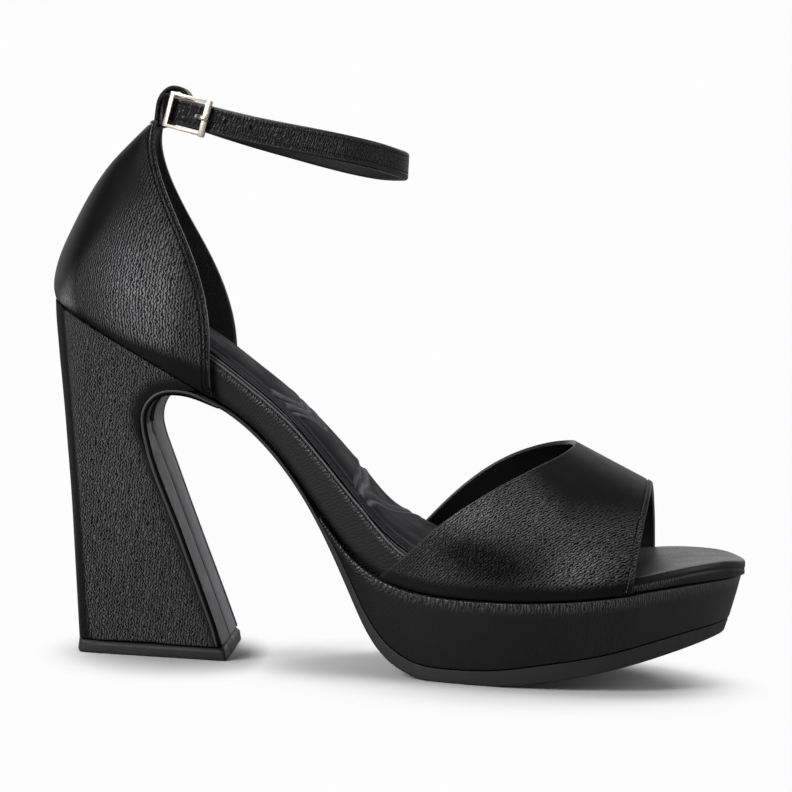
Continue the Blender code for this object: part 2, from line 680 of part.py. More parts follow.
def breast_floor(rows):
    """For each level: the bottom of the breast's recess, and which way the breast faces."""
    seat = HEEL[-1]
    seat_slope = (seat.breast_z - seat.back_z) / (seat.breast_x - seat.back_x)
    path = [Vector((row.breast_x, 0, row.breast_z)) for row in rows]
    floors = []
    for k, point in enumerate(path):
        run = (path[min(k + 1, len(path) - 1)] - path[max(k - 1, 0)]).normalized()
        out = Vector((run.z, 0, -run.x))
        if k == 0:
            out = Vector((1 / run.z, 0, 0))     # the lowest level stays level
        above = seat.breast_z + seat_slope * (point.x - seat.breast_x) - point.z
        floors.append((point - out * min(BREAST_RECESS, above * 0.4), out))
    return floors


def build_heel_block():
    rows = heel_rows()
    rings = []
    for row, (floor, out) in zip(rows, breast_floor(rows)):
        rings.append(heel_outline(row, heel_half(row.back_z), floor=floor))
    return loft("heel_block", rings, LEATHER)


def build_heel_tip():
    foot = HEEL[0]
    rings = []
    for z, spread in ((0.0, -0.35), (0.5, 0.0), (HEEL_TIP_HEIGHT, 0.0)):
        flare = HEEL_TIP_FLARE * (1 - z / HEEL_TIP_HEIGHT)
        row = foot._replace(back_z=z, breast_z=z, back_x=foot.back_x - flare * 0.3 - spread,
                            breast_x=foot.breast_x + HEEL_TIP_FRONT + flare + spread)
        rings.append(heel_outline(row, heel_half(0) - HEEL_TIP_SET_BACK + spread))
    return loft("heel_tip", rings, RUBBER)


def build_heel_breast():
    """A thin plate in the recess down the front of the heel, with a slit along its middle."""
    rings = []
    rows = heel_rows()
    for row, (floor, out) in list(zip(rows, breast_floor(rows)))[:-1]:
        side = heel_half(row.back_z)
        half = side - LIP_WIDTH - GAP * 1.6
        deep = BREAST_PLATE - SLIT_DEPTH
        slit = SLIT_WIDTH / 2
        profile = [(-half, 0.0), (-half, BREAST_PLATE - 0.3), (-half + 0.4, BREAST_PLATE),
                   (-slit * 1.6, BREAST_PLATE), (-slit * 0.5, deep), (slit * 0.5, deep),
                   (slit * 1.6, BREAST_PLATE), (half - 0.4, BREAST_PLATE),
                   (half, BREAST_PLATE - 0.3), (half, 0.0)]
        ring = []
        for y, height in profile:
            spot = floor + out * (GAP + height)
            lag = row.lag * (1 + y / side) / 2
            ring.append((spot.x - lag, HEEL_MIDDLE + y, spot.z))
        rings.append(ring)
    return loft("heel_breast", rings, BREAST_GREY)


def band_ring(centre, side, up, thickness, width, edge=0.5):
    """Section of a flat strip: side is across its thickness, up is across its width."""
    a = thickness / 2
    b = width / 2
    corners = [(-a, -b + edge), (-a + edge, -b), (a - edge, -b), (a, -b + edge),
               (a, b - edge), (a - edge, b), (-a + edge, b), (-a, b - edge)]
    return [tuple(centre + side * s + up * t) for s, t in corners]


def strap_path():
    return smooth_path([tuple(p) for p in STRAP], 3, closed=True)


def build_ankle_strap():
    path = strap_path()
    rings = []
    for k, point in enumerate(path):
        run = path[(k + 1) % len(path)] - path[k - 1]
        side = Vector((run.y, -run.x, 0)).normalized()
        rings.append(band_ring(point, side, Vector((0, 0, 1)), STRAP_THICKNESS, STRAP_WIDTH))
    return loft("ankle_strap", rings, LEATHER, closed=True)


def build_strap_loop():
    path = smooth_path([(p.x, HEEL_MIDDLE, p.z) for p in LOOP], 3, closed=False)
    rings = []
    for k, point in enumerate(path):
        run = (path[min(k + 1, len(path) - 1)] - path[max(k - 1, 0)]).normalized()
        side = Vector((run.z, 0, -run.x))
        rings.append(band_ring(point, side, Vector((0, 1, 0)), LOOP_THICKNESS, LOOP_WIDTH))
    return loft("strap_loop", rings, LEATHER)


def buckle_axes():
    """Centre and axes of the buckle, which lies flat on the outside of the strap."""
    path = strap_path()
    near = sorted(path, key=lambda p: (p.y > 0, abs(p.x - BUCKLE_X)))[:2]
    forward = near[1] - near[0]
    forward.z = 0
    forward.normalize()
    if forward.x < 0:
        forward.negate()
    outward = Vector((forward.y, -forward.x, 0))
    tilt = math.tan(BUCKLE_SLOPE)
    ahead = (forward + Vector((0, 0, -tilt))).normalized()
    upward = ahead.cross(outward).normalized()
    if upward.z < 0:
        upward.negate()
    share = (BUCKLE_X - near[0].x) / (near[1].x - near[0].x)
    on_strap = near[0].lerp(near[1], share)
    centre = on_strap + outward * (STRAP_THICKNESS / 2 + BUCKLE_PLAY + BUCKLE_BAR / 2)
    return centre, ahead, upward, outward


def tube(name, path, radius, finish, closed, spread_axis=None, sides=8):
    """A round bar along a path that lies in one plane, whose normal is spread_axis."""
    rings = []
    for k, point in enumerate(path):
        if closed:
            run = path[(k + 1) % len(path)] - path[k - 1]
        else:
            run = path[min(k + 1, len(path) - 1)] - path[max(k - 1, 0)]
        across = run.cross(spread_axis).normalized()
        ring = []
        for s in range(sides):
            angle = math.tau * s / sides
            ring.append(tuple(point + (across * math.cos(angle) + spread_axis * math.sin(angle)) * radius))
        rings.append(ring)
    return loft(name, rings, finish, closed=closed)


def build_buckle_frame():
    centre, ahead, upward, outward = buckle_axes()
    half_length = (BUCKLE_LENGTH - BUCKLE_BAR) / 2
    half_height = (BUCKLE_HEIGHT - BUCKLE_BAR) / 2
    corner = 1.0
    path = []
    for quarter, (sx, sz) in enumerate(((1, 1), (-1, 1), (-1, -1), (1, -1))):
        for k in range(4):
            angle = math.pi / 2 * (quarter + k / 3)
            along_strap = sx * (half_length - corner) + corner * math.cos(angle)
            across_strap = sz * (half_height - corner) + corner * math.sin(angle)
            path.append(centre + ahead * along_strap + upward * across_strap)
    return tube("buckle_frame", path, BUCKLE_BAR / 2, GOLD, closed=True, spread_axis=outward)


def build_buckle_prong():
    """The prong shows from its hole in the strap to the front bar, over which it rests."""
    centre, ahead, upward, outward = buckle_axes()
    bar = (BUCKLE_LENGTH - BUCKLE_BAR) / 2
    strap_face = -BUCKLE_BAR / 2 - BUCKLE_PLAY
    low = strap_face + GAP + PRONG_DIAMETER / 2
    high = BUCKLE_BAR / 2 + GAP + PRONG_DIAMETER / 2
    spots = [(bar - 3.4, low), (bar - 2.4, low + 0.5), (bar - 1.3, high - 0.35),
             (bar - 0.3, high), (bar + 0.7, high - 0.1)]
    path = smooth_path([tuple(centre + ahead * a + outward * h) for a, h in spots], 3, closed=False)
    return tube("buckle_prong", path, PRONG_DIAMETER / 2, GOLD, closed=False, spread_axis=upward)


def main():
    for old in list(bpy.data.objects):
        bpy.data.objects.remove(old, do_unlink=True)
    build_outsole()
    build_platform()
    build_insole_board()
    build_insole_pad()
    build_heel_block()
    build_heel_breast()
    build_heel_tip()
    build_counter()
    build_strap_loop()
    build_ankle_strap()
    build_buckle_frame()
    build_buckle_prong()
    build_vamp()


main()
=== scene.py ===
# %% [markdown]
# # A black platform sandal with a block heel
#
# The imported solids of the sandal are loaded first. They have the right size and place, but plain
# surfaces. Each cell below takes one piece of the sandal and gives it the look of the real one:
# grained leather, folded and stitched edges, a padded insole, a moulded heel and a gold buckle.
# Lengths are in metres, and MM is one millimetre. X runs from heel to toe, -Y is the outer side
# of this right shoe, and Z is up.

# %% Load the solids
import math

import bpy
import numpy as np
from mathutils import Matrix, Vector
from mathutils.bvhtree import BVHTree
from mathutils.kdtree import KDTree


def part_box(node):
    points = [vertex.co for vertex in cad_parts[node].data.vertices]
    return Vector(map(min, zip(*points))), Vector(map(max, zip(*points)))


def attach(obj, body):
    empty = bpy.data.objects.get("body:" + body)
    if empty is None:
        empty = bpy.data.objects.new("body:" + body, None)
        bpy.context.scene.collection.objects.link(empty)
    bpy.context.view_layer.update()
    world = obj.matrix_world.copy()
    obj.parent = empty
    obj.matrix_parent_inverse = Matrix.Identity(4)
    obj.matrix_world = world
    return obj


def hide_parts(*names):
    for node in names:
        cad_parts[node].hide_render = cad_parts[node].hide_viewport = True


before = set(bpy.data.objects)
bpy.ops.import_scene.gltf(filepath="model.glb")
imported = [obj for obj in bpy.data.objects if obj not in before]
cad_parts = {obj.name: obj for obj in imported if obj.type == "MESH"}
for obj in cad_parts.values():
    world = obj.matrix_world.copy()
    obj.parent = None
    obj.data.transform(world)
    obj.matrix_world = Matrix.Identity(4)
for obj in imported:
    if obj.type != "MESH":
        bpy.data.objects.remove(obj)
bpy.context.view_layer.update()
MM = 0.001

# %% [markdown]
# ## The camera
#
# A long lens a metre away keeps the heel and the toe at one size. It stands a few degrees towards
# the toe and above the floor, and is rolled a little, so that the toe sits lower than the heel.

# %% Camera
CAMERA_TURN = math.radians(3.6)      # a little towards the toe from straight on to the outer side
CAMERA_RISE = math.radians(3.2)
CAMERA_ROLL = math.radians(3.2)
CAMERA_DISTANCE = 1.0
LOOK_AT = Vector((-1.1, 0.0, 85.2)) * MM
LENS = 142.73


def set_up_camera():
    """A long lens looking at the outer side of the sandal, rolled a little."""
    lens = bpy.data.cameras.new("product_camera")
    lens.lens = LENS
    lens.sensor_width = 36.0
    camera = bpy.data.objects.new("product_camera", lens)
    bpy.context.scene.collection.objects.link(camera)
    back = Vector((math.sin(CAMERA_TURN) * math.cos(CAMERA_RISE),
                   -math.cos(CAMERA_TURN) * math.cos(CAMERA_RISE),
                   math.sin(CAMERA_RISE)))
    turn = back.to_track_quat("Z", "Y") @ Matrix.Rotation(CAMERA_ROLL, 3, "Z").to_quaternion()
    camera.matrix_world = Matrix.LocRotScale(LOOK_AT + back * CAMERA_DISTANCE, turn, None)
    bpy.context.scene.camera = camera
    return camera


camera = set_up_camera()
print("camera at", [round(v, 3) for v in camera.location])

# %% [markdown]
# ## Helpers for materials
#
# A material is a graph of small nodes. Each helper adds one node and feeds its inputs: a plain
# value is set on the socket, and the output of another node is linked to it. A graph then reads
# like a sum.

# %% Helpers for shader nodes


def feed(tree, socket, value):
    """Sets a value on a socket, or links another node's output to it."""
    if isinstance(value, bpy.types.NodeSocket):
        tree.links.new(value, socket)
    else:
        socket.default_value = value


def add_node(tree, kind, inputs=(), **settings):
    """A node with its settings, and with its inputs fed by name or number."""
    node = tree.nodes.new("ShaderNode" + kind)
    for name, value in settings.items():
        setattr(node, name, value)
    for name, value in dict(inputs).items():
        feed(tree, node.inputs[name], value)
    return node


def math_node(tree, kind, *values):
    return add_node(tree, "Math", enumerate(values), operation=kind).outputs[0]


def ramp_node(tree, value, low, high, to_low=0.0, to_high=1.0):
    """Turns the range low to high into to_low to to_high, with soft ends."""
    return add_node(tree, "MapRange", {"Value": value, "From Min": low, "From Max": high,
                                       "To Min": to_low, "To Max": to_high},
                    interpolation_type="SMOOTHSTEP").outputs[0]


def noise_node(tree, place, scale, detail=2.0, roughness=0.5):
    return add_node(tree, "TexNoise", {"Vector": place, "Scale": scale, "Detail": detail,
                                       "Roughness": roughness}).outputs["Fac"]


def attribute(tree, name):
    """A number that was kept for each vertex of the piece."""
    return add_node(tree, "Attribute", attribute_name=name).outputs["Fac"]


def away_from(tree, name, value):
    """How far the piece's number lies from a value."""
    return math_node(tree, "ABSOLUTE", math_node(tree, "SUBTRACT", attribute(tree, name), value))


def blend_colour(tree, amount, low, high):
    """From low to high; the low colour may come from another node."""
    low = low if isinstance(low, bpy.types.NodeSocket) else (*low, 1.0)
    return add_node(tree, "Mix", {"Factor": amount, "A": low, "B": (*high, 1.0)},
                    data_type="RGBA").outputs["Result"]


def bump(tree, height, depth, before=None):
    """A Bump node: depth is in mm for a height of 1."""
    inputs = {"Strength": 1.0, "Distance": depth * MM, "Height": height}
    if before is not None:
        inputs["Normal"] = before
    return add_node(tree, "Bump", inputs).outputs[0]


def object_place(tree, turn=(0.0, 0.0, 0.0), stretch=(1.0, 1.0, 1.0)):
    """Object coordinates in mm, turned by angles in degrees and stretched along three axes."""
    where = add_node(tree, "TexCoord").outputs["Object"]
    return add_node(tree, "Mapping", {"Scale": [MM / share for share in stretch],
                                      "Rotation": [math.radians(angle) for angle in turn],
                                      "Vector": where}, vector_type="TEXTURE").outputs[0]


def new_material(name, colour, roughness, shine, metallic=0.0):
    made = bpy.data.materials.new(name)
    made.use_nodes = True
    shader = made.node_tree.nodes["Principled BSDF"]
    for socket, value in (("Base Color", (*colour, 1.0)), ("Roughness", roughness),
                          ("Metallic", metallic), ("Specular IOR Level", shine)):
        shader.inputs[socket].default_value = value
    return made, made.node_tree, shader


def camera_sees(tree, seen, otherwise):
    """One shader where the camera looks, and another one for the light that bounces."""
    ray = add_node(tree, "LightPath").outputs["Is Camera Ray"]
    return add_node(tree, "MixShader", {0: ray, 1: otherwise, 2: seen}).outputs[0]


print("node helpers:", [helper.__name__ for helper in (math_node, ramp_node, noise_node, bump)])

# %% [markdown]
# ## The studio
#
# A product like this is shown on a white sweep with big soft lights. One soft box stands in front
# and to the left, which draws the tall highlight down the heel counter, together with a highlight
# painted into the leather's colour there. One hangs overhead and lights the top of the vamp, where
# highlights are painted into the leather too, and a weak one fills in from the toe. The room itself
# is bright behind the sandal and dim in front of it, so that the black leather stays black and only
# its edges pick up light. The sweep fades into the white room, and shade is painted into its colour
# in two ovals under the heel and the forefoot, where little light gets in; the lights' own shadows
# fall there too.

# %% Lights, room and floor
WHITE = (0.985, 0.985, 0.985, 1.0)
SOFT_BOXES = (("left_box", (-0.75, -0.95, 0.62), (0.55, 0.55), 17.0),
              ("top_box", (-0.15, 0.25, 1.3), (0.9, 0.6), 9.0),
              ("right_box", (1.2, -0.1, 0.5), (0.4, 0.8), 5.0))      # place, size and watts
SHADOWS = (((-0.068, -0.016), (0.042, 0.070)), ((0.034, -0.018), (0.094, 0.090)))    # centre, radii
SHADOW_CORE = 0.55          # inside this share of the radii the sweep takes the full shadow
SHADOW_TONE = 0.60          # the sweep right under the sandal, where light hardly reaches
FLOOR_TONE = 0.93
FLOOR_BOUNCE = 0.30         # share of light that it throws back onto the sandal


def soft_box(name, place, size, power):
    """A large light aimed at the middle of the sandal."""
    lamp = bpy.data.lights.new(name, "AREA")
    lamp.shape = "RECTANGLE"
    lamp.size, lamp.size_y = size
    lamp.energy = power
    box = bpy.data.objects.new(name, lamp)
    bpy.context.scene.collection.objects.link(box)
    aim = (Vector(place) - LOOK_AT).to_track_quat("Z", "Y")
    box.matrix_world = Matrix.LocRotScale(Vector(place), aim, None)


def light_room():
    """White behind the sandal, dimmer in front, and plain white where the camera sees it."""
    world = bpy.data.worlds.new("studio")
    world.use_nodes = True
    bpy.context.scene.world = world
    tree = world.node_tree
    tree.nodes.clear()
    where = add_node(tree, "TexCoord").outputs["Generated"]
    backward = add_node(tree, "SeparateXYZ", {0: where}).outputs["Y"]
    glow = ramp_node(tree, backward, 0.45, 0.95, 0.03, 0.95)
    room = add_node(tree, "Background", {"Color": glow}).outputs[0]
    seen = add_node(tree, "Background", {"Color": WHITE}).outputs[0]
    add_node(tree, "OutputWorld", {0: camera_sees(tree, seen, room)})


def lay_floor():
    """A white sweep: it takes the sandal's soft shadow, deepened by shade painted into its colour in
    two ovals, and fades into the white room.
    """
    bpy.ops.mesh.primitive_plane_add(size=60.0, location=(0, 0, 0))
    floor = bpy.context.object
    floor.name = "floor"
    paint, tree, shader = new_material("white_sweep", (FLOOR_TONE,) * 3, 0.9, 0.1)
    where = add_node(tree, "TexCoord").outputs["Object"]
    reach = []
    for centre, radii in SHADOWS:
        oval = add_node(tree, "Mapping", {"Location": (*centre, 0.0), "Scale": (*radii, 1.0),
                                          "Vector": where}, vector_type="TEXTURE").outputs[0]
        away = add_node(tree, "VectorMath", {0: oval}, operation="LENGTH")
        reach.append(away.outputs["Value"])
    nearest = math_node(tree, "MINIMUM", *reach)
    # Painted shade: the sweep's colour darkens towards the middle of each oval.
    painted_shadow_tone = ramp_node(tree, nearest, 0.0, 0.9, SHADOW_TONE, FLOOR_TONE)
    feed(tree, shader.inputs["Base Color"], painted_shadow_tone)
    far = ramp_node(tree, nearest, SHADOW_CORE, 1.0)
    glow = add_node(tree, "Emission", {"Color": WHITE}).outputs[0]
    seen = add_node(tree, "MixShader", {0: far, 1: shader.outputs[0], 2: glow}).outputs[0]
    dull = add_node(tree, "BsdfDiffuse", {"Color": (*(FLOOR_BOUNCE,) * 3, 1.0)}).outputs[0]
    feed(tree, tree.nodes["Material Output"].inputs["Surface"], camera_sees(tree, seen, dull))
    floor.data.materials.append(paint)


for box in SOFT_BOXES:
    soft_box(*box)
light_room()
lay_floor()
bpy.context.scene.view_settings.view_transform = "Standard"
bpy.context.scene.view_settings.look = "None"

# %% [markdown]
# ## Helpers for shaping
#
# Every leather piece starts as a copy of its solid. The copy is merged and turned back into
# four-sided faces, its sharp edges get a crease so that they stay crisp but round, and a
# subdivision surface makes it smooth. Finer forms, such as a folded edge or a sewn channel, are
# then pressed into the dense mesh along its normals, as a sculptor would.

# %% Helpers for selecting, copying and smoothing


def lone(piece):
    """Nothing but this piece selected, and it is active."""
    bpy.ops.object.select_all(action="DESELECT")
    piece.select_set(True)
    bpy.context.view_layer.objects.active = piece


def enter(piece, kind="FACE", action="DESELECT"):
    """Edit mode, with nothing or all selected."""
    lone(piece)
    bpy.ops.object.mode_set(mode="EDIT")
    bpy.ops.mesh.select_mode(type=kind)
    bpy.ops.mesh.select_all(action=action)


def leave():
    bpy.ops.object.mode_set(mode="OBJECT")


def pick(piece, kind, wanted):
    """Edit mode, with only the wanted faces or edges selected."""
    enter(piece, kind)
    leave()
    for item in piece.data.edges if kind == "EDGE" else piece.data.polygons:
        item.select = bool(wanted(item))
    bpy.ops.object.mode_set(mode="EDIT")


def turn_outwards(piece):
    enter(piece, action="SELECT")
    bpy.ops.mesh.normals_make_consistent(inside=False)
    leave()


def copy_of(node, name):
    """A merged copy of a solid in four-sided faces, ready to shape."""
    piece = bpy.data.objects.new(name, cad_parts[node].data.copy())
    piece.data.name = name
    piece.data.materials.clear()
    bpy.context.scene.collection.objects.link(piece)
    enter(piece, action="SELECT")
    bpy.ops.mesh.remove_doubles(threshold=0.001 * MM)
    bpy.ops.mesh.customdata_custom_splitnormals_clear()
    bpy.ops.mesh.tris_convert_to_quads(face_threshold=math.radians(60), topology_influence=1.0,
                                       shape_threshold=math.radians(120))
    bpy.ops.mesh.faces_shade_smooth()
    leave()
    return piece


def crease_sharp(piece, angle, strength):
    """A crease on each edge sharper than an angle in degrees."""
    enter(piece, "EDGE")
    bpy.ops.mesh.edges_select_sharp(sharpness=math.radians(angle))
    bpy.ops.transform.edge_crease(value=strength)
    leave()


def smooth(piece, levels):
    """A subdivision surface, applied."""
    change = piece.modifiers.new("smooth", "SUBSURF")
    change.levels = change.render_levels = levels
    change.quality = 3
    lone(piece)
    bpy.ops.object.modifier_apply(modifier=change.name)


def wrap(node, name, material, levels, angle=38, strength=0.6):
    """A core wrapped in its skin: one material, with sharp edges a little rounded."""
    piece = copy_of(node, name)
    piece.data.materials.append(material)
    crease_sharp(piece, angle, strength)
    smooth(piece, levels)
    return piece


# %% Helpers for pressing, measuring and finishing
FAR = 9.0                                # mm, out of reach of every fold, line and slit


def vertex_values(piece, kind):
    flat = np.empty(len(piece.data.vertices) * 3)
    piece.data.vertices.foreach_get(kind, flat)
    return flat.reshape(-1, 3)


def points_of(piece):
    return vertex_values(piece, "co")


def places_of(piece):
    """Each vertex's place in mm."""
    return points_of(piece) / MM


def normals_of(piece):
    return vertex_values(piece, "normal")


def put_points(piece, points):
    piece.data.vertices.foreach_set("co", np.asarray(points).reshape(-1))
    piece.data.update()


def press(piece, depth):
    """Moves each vertex along its normal: depth is in mm and points out of the surface."""
    put_points(piece, points_of(piece) + normals_of(piece) * (np.asarray(depth) * MM)[:, None])


def note(piece, name, values):
    """Keeps a number per vertex, or one for all, for the material to read."""
    layer = piece.data.attributes.new(name, "FLOAT", "POINT")
    layer.data.foreach_set("value", np.full(len(piece.data.vertices), values, dtype=np.float32))


def distance_to(points, line):
    """Distance in mm from each point to the nearest of the line's points."""
    tree = KDTree(len(line))
    for k, spot in enumerate(line):
        tree.insert(Vector(spot), k)
    tree.balance()
    return np.array([tree.find(Vector(p))[2] for p in points]) / MM


def line_distance(across, up, line):
    """Distance from each vertex to a bent line in a plane, in mm."""
    places = np.array([across, up]).T
    away = []
    for start, end in zip(line[:-1], line[1:]):
        start = np.array(start)
        span = np.array(end) - start
        t = np.clip(((places - start) @ span) / (span @ span), 0, 1)
        away.append(np.linalg.norm(places - start - t[:, None] * span, axis=1))
    return np.minimum.reduce(away)


def reach_of(values, along, bins, extreme, first=0):
    """The least or greatest value at each place, found in bins along the piece."""
    marks = np.linspace(along.min(), along.max(), bins)
    level = np.clip(np.searchsorted(marks, along), first, bins - 1)
    found = np.array([extreme(values[level == k]) if (level == k).any() else np.nan
                      for k in range(bins)])
    known = ~np.isnan(found)
    return np.interp(along, marks[known], found[known])


def hump(distance, width):
    """1 on the line, falling smoothly to 0 at this distance."""
    t = np.clip(np.abs(distance) / width, 0, 1)
    return (1 - t * t) ** 2


def step_up(value, start, end):
    """0 up to the start, rising smoothly to 1 at the end."""
    t = np.clip((value - start) / (end - start), 0, 1)
    return t * t * (3 - 2 * t)


def paint_wear_and_light(piece, base, spots=(), more=0.0):
    """How grey the grain's tops are painted, as wear and as painted highlight and shade: a base
    value, and soft spots seen from the side, each (x, z, radius along x, radius along z, amount) in
    mm, and more of it at some vertices."""
    where = places_of(piece)
    value = np.full(len(where), base) + more
    for x, z, wide, high, amount in spots:
        reach = ((where[:, 0] - x) / wide) ** 2 + ((where[:, 2] - z) / high) ** 2
        value += amount * np.exp(-reach)
    note(piece, "worn_and_lit", np.maximum(value, 0.0))


def note_wrap(piece, y, reach):
    """Counts mm from side to side round a piece that reaches furthest at y = 0.
    reach: how far each vertex lies from that furthest point, in mm."""
    note(piece, "wrap", y + np.sign(y) * reach)


def paint(piece, index, wanted):
    """Another of the piece's materials for some faces: wanted(face, x, y, z), in mm."""
    for face in piece.data.polygons:
        if wanted(face, *(face.center / MM)):
            face.material_index = index


def finish_piece(piece, node, slot_name, *materials):
    """Finishes the piece: it stands for its solid, rides on the sandal and has its finish."""
    for material in materials:
        piece.data.materials.append(material)
    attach(piece, "root")
    if node:
        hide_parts(node)
    print(piece.name, "faces:", len(piece.data.polygons))


print("a hump 1 mm wide, at 0, 0.5 and 1 mm:", hump(np.array([0, 0.5, 1.0]), 1.0))

# %% [markdown]
# ## Finding the faces of a shell
#
# The counter, the vamp and the strap are thin shells. Each has an outer skin, a lining and a narrow
# cut edge between them. The skin is found as by hand: one face is picked, and the selection grows
# over its neighbours until it meets a sharp edge.

# %% Sort a shell's faces
SKIN, CUT_EDGE, LINING = 0, 1, 2         # the order of a shell's materials


def grow_from(piece, spot, facing, angle):
    """The smooth region round the face nearest to a spot that faces a given way."""
    faces = [face for face in piece.data.polygons if face.normal.dot(facing) > 0.4]
    index = min(faces, key=lambda face: (face.center - spot).length).index
    pick(piece, "FACE", lambda face: face.index == index)
    bpy.ops.mesh.faces_select_linked_flat(sharpness=math.radians(angle))
    leave()
    return {face.index for face in piece.data.polygons if face.select}


def shell_of(node, name, materials, spot, facing, through, angle, sharp=45, strength=0.75):
    """A shell's smooth copy, with its skin, cut edge and lining in their own materials.
    spot: a place on the skin, which faces that way; through: mm in y from there to the lining."""
    piece = copy_of(node, name)
    for material in materials:
        piece.data.materials.append(material)
    facing = Vector(facing)
    skin = grow_from(piece, spot, facing, angle)
    lining = grow_from(piece, spot + Vector((0, through * MM, 0)), -facing, angle)
    paint(piece, CUT_EDGE, lambda *face: True)
    paint(piece, SKIN, lambda face, *place: face.index in skin)
    paint(piece, LINING, lambda face, *place: face.index in lining)
    print(name, "skin", len(skin), "lining", len(lining), "of", len(piece.data.polygons))
    crease_sharp(piece, sharp, strength)
    smooth(piece, 3)
    return piece


print("a shell has skin, cut edge and lining")

# %% [markdown]
# ## Following and sewing an edge
#
# The edge between skin and cut edge is found from the faces on its two sides, and its loose pieces
# are put in order, so that a row of stitches can walk along it. A fold is told to the material as
# the distance from that edge.

# %% Follow an edge and sew it down
FOLD_CHANNEL = 0.28                      # mm that the thread pulls the leather down


def follow(edges):
    """Puts loose edges, given as pairs of vertex numbers, into chains, the longest first."""
    near = {}
    for a, b in edges:
        near.setdefault(a, []).append(b)
        near.setdefault(b, []).append(a)
    chains = []
    while near:
        ends = [v for v, others in near.items() if len(others) == 1]
        at = ends[0] if ends else next(iter(near))
        chain = [at]
        while near.get(at):
            onward = near[at].pop()
            near[onward].remove(at)
            if not near[at]:
                del near[at]
            at = onward
            chain.append(at)
        near = {v: others for v, others in near.items() if others}
        chains.append(chain)
    return sorted(chains, key=len, reverse=True)


def rim_of(piece, keep=lambda place: True):
    """Chains of vertex numbers along the edge between the skin and the cut edge."""
    sides = {}
    for face in piece.data.polygons:
        for key in face.edge_keys:
            sides.setdefault(key, set()).add(face.material_index)
    points = piece.data.vertices
    return follow([(a, b) for (a, b), found in sides.items()
                   if found == {SKIN, CUT_EDGE} and keep(points[a].co) and keep(points[b].co)])


def skin_faces(piece):
    return [face for face in piece.data.polygons if face.material_index == SKIN]


def note_rim(piece, name, where, keep=lambda place: True):
    """Keeps each vertex's distance from the rim, or from the part of it that keep names."""
    chains = rim_of(piece, keep)
    away = distance_to(where, [where[v] for chain in chains for v in chain])
    note(piece, name, away)
    return chains, away


def sew_fold(piece, keep, turned, width, bead=0.22):
    """Presses a folded and sewn edge into the skin where keep says so, and tells the material
    how far in it is.  turned says where the edge is turned over, and where the material paints a
    highlight along it."""
    where = points_of(piece)
    chains, away = note_rim(piece, "rim", where, keep)
    note_rim(piece, "edge", where, turned)
    skin = np.zeros(len(where))
    skin[[v for face in skin_faces(piece) for v in face.vertices]] = 1.0
    depth = bead * hump(away - width * 0.45, width * 0.6)
    depth -= FOLD_CHANNEL * hump(away - width, 0.55)
    depth -= 0.10 * hump(away, 0.5)
    press(piece, depth * skin)
    return chains


print("a fold's channel is", FOLD_CHANNEL, "mm deep")

# %% [markdown]
# ## The leather
#
# The upper, the heel cover and the platform cover are one synthetic leather with a fine, wormy
# grain: wavering wrinkles, about a millimetre apart, that run one way. They are a sine wave across
# the hide, pushed to and fro by slow noise, and a second noise lowers it here and there. The wave
# lives in one shader group, so that each piece can turn, stretch and deepen the same grain in its
# own way, as a hide does when it is pulled over a last. The grain's tops are painted grey, partly
# as wear and partly as the light that the ridges catch, and its valleys stay black.

# %% Build the shared grain
SMOOTH_TOP = 0.02           # how grey the leather is painted where it has no grain


def build_grain():
    """The grain's height, 0 to 1, and how grey its tops are painted.  Across counts the wrinkles
    side by side, and Taut is 1 where the leather is pulled smooth."""
    group = bpy.data.node_groups.new("leather_grain", "ShaderNodeTree")
    for name, way, kind in (("Across", "INPUT", "Float"), ("Place", "INPUT", "Vector"),
                            ("Wander", "INPUT", "Float"), ("Taut", "INPUT", "Float"),
                            ("Height", "OUTPUT", "Float"), ("Top", "OUTPUT", "Float")):
        group.interface.new_socket(name, in_out=way, socket_type="NodeSocket" + kind)
    given = group.nodes.new("NodeGroupInput").outputs
    out = group.nodes.new("NodeGroupOutput").inputs
    waver = noise_node(group, given["Place"], 0.85, 1.0, 0.40)
    swing = math_node(group, "MULTIPLY", math_node(group, "SUBTRACT", waver, 0.5), given["Wander"])
    turns = math_node(group, "ADD", given["Across"], swing)
    wave = math_node(group, "SINE", math_node(group, "MULTIPLY", turns, 2 * math.pi))
    ridge = math_node(group, "MULTIPLY_ADD", wave, 0.5, 0.5)
    broken = ramp_node(group, noise_node(group, given["Place"], 0.9, 0.0), 0.28, 0.50, 0.87, 1.0)
    grained = math_node(group, "MULTIPLY", ridge, broken)
    loose = math_node(group, "SUBTRACT", 1.0, given["Taut"])
    feed(group, out["Height"], math_node(group, "MULTIPLY", grained, loose))
    peak = math_node(group, "SUBTRACT", math_node(group, "POWER", grained, 1.6), SMOOTH_TOP)
    feed(group, out["Top"], math_node(group, "MULTIPLY_ADD", peak, loose, SMOOTH_TOP))
    return group


grain = build_grain()
print("grain group:", len(grain.nodes), "nodes")

# %% [markdown]
# ## A leather for each piece
#
# A material reads the piece's own Object coordinates in millimetres, or the wrap attribute where
# the grain has to bend round a corner with the hide, and counts its wrinkles across them. The taut
# attribute thins the grain out where the leather is lasted tight, as at the back of the counter
# and over the top of the vamp, and the worn_and_lit attribute says how grey its tops are painted,
# as wear and as painted highlight and shade. Along a folded edge the line of the stitches is
# pressed in and shade is painted into it, and a highlight is painted along the turned edge.

# %% Make the leathers
BLACK = (0.0024, 0.0024, 0.0027)         # in the valleys of the grain
WORN_LIT_TOP = (0.3000, 0.3000, 0.3090)        # on its tops, where the most wear and painted highlight are
LEATHER_GLOSS = 0.25                     # roughness of the grain's tops
VALLEY_DULL = 0.20                       # how much rougher the valleys are
EDGE_LIGHT = 0.10                        # how light the highlight painted along a turned edge is
LINE_LIGHT = 0.42                        # how light the highlight painted on a raised line is
FOLD_DEPTH = 0.20
BINDING = (0.35, 1.55)                   # mm below the board's edge of its two raised lines


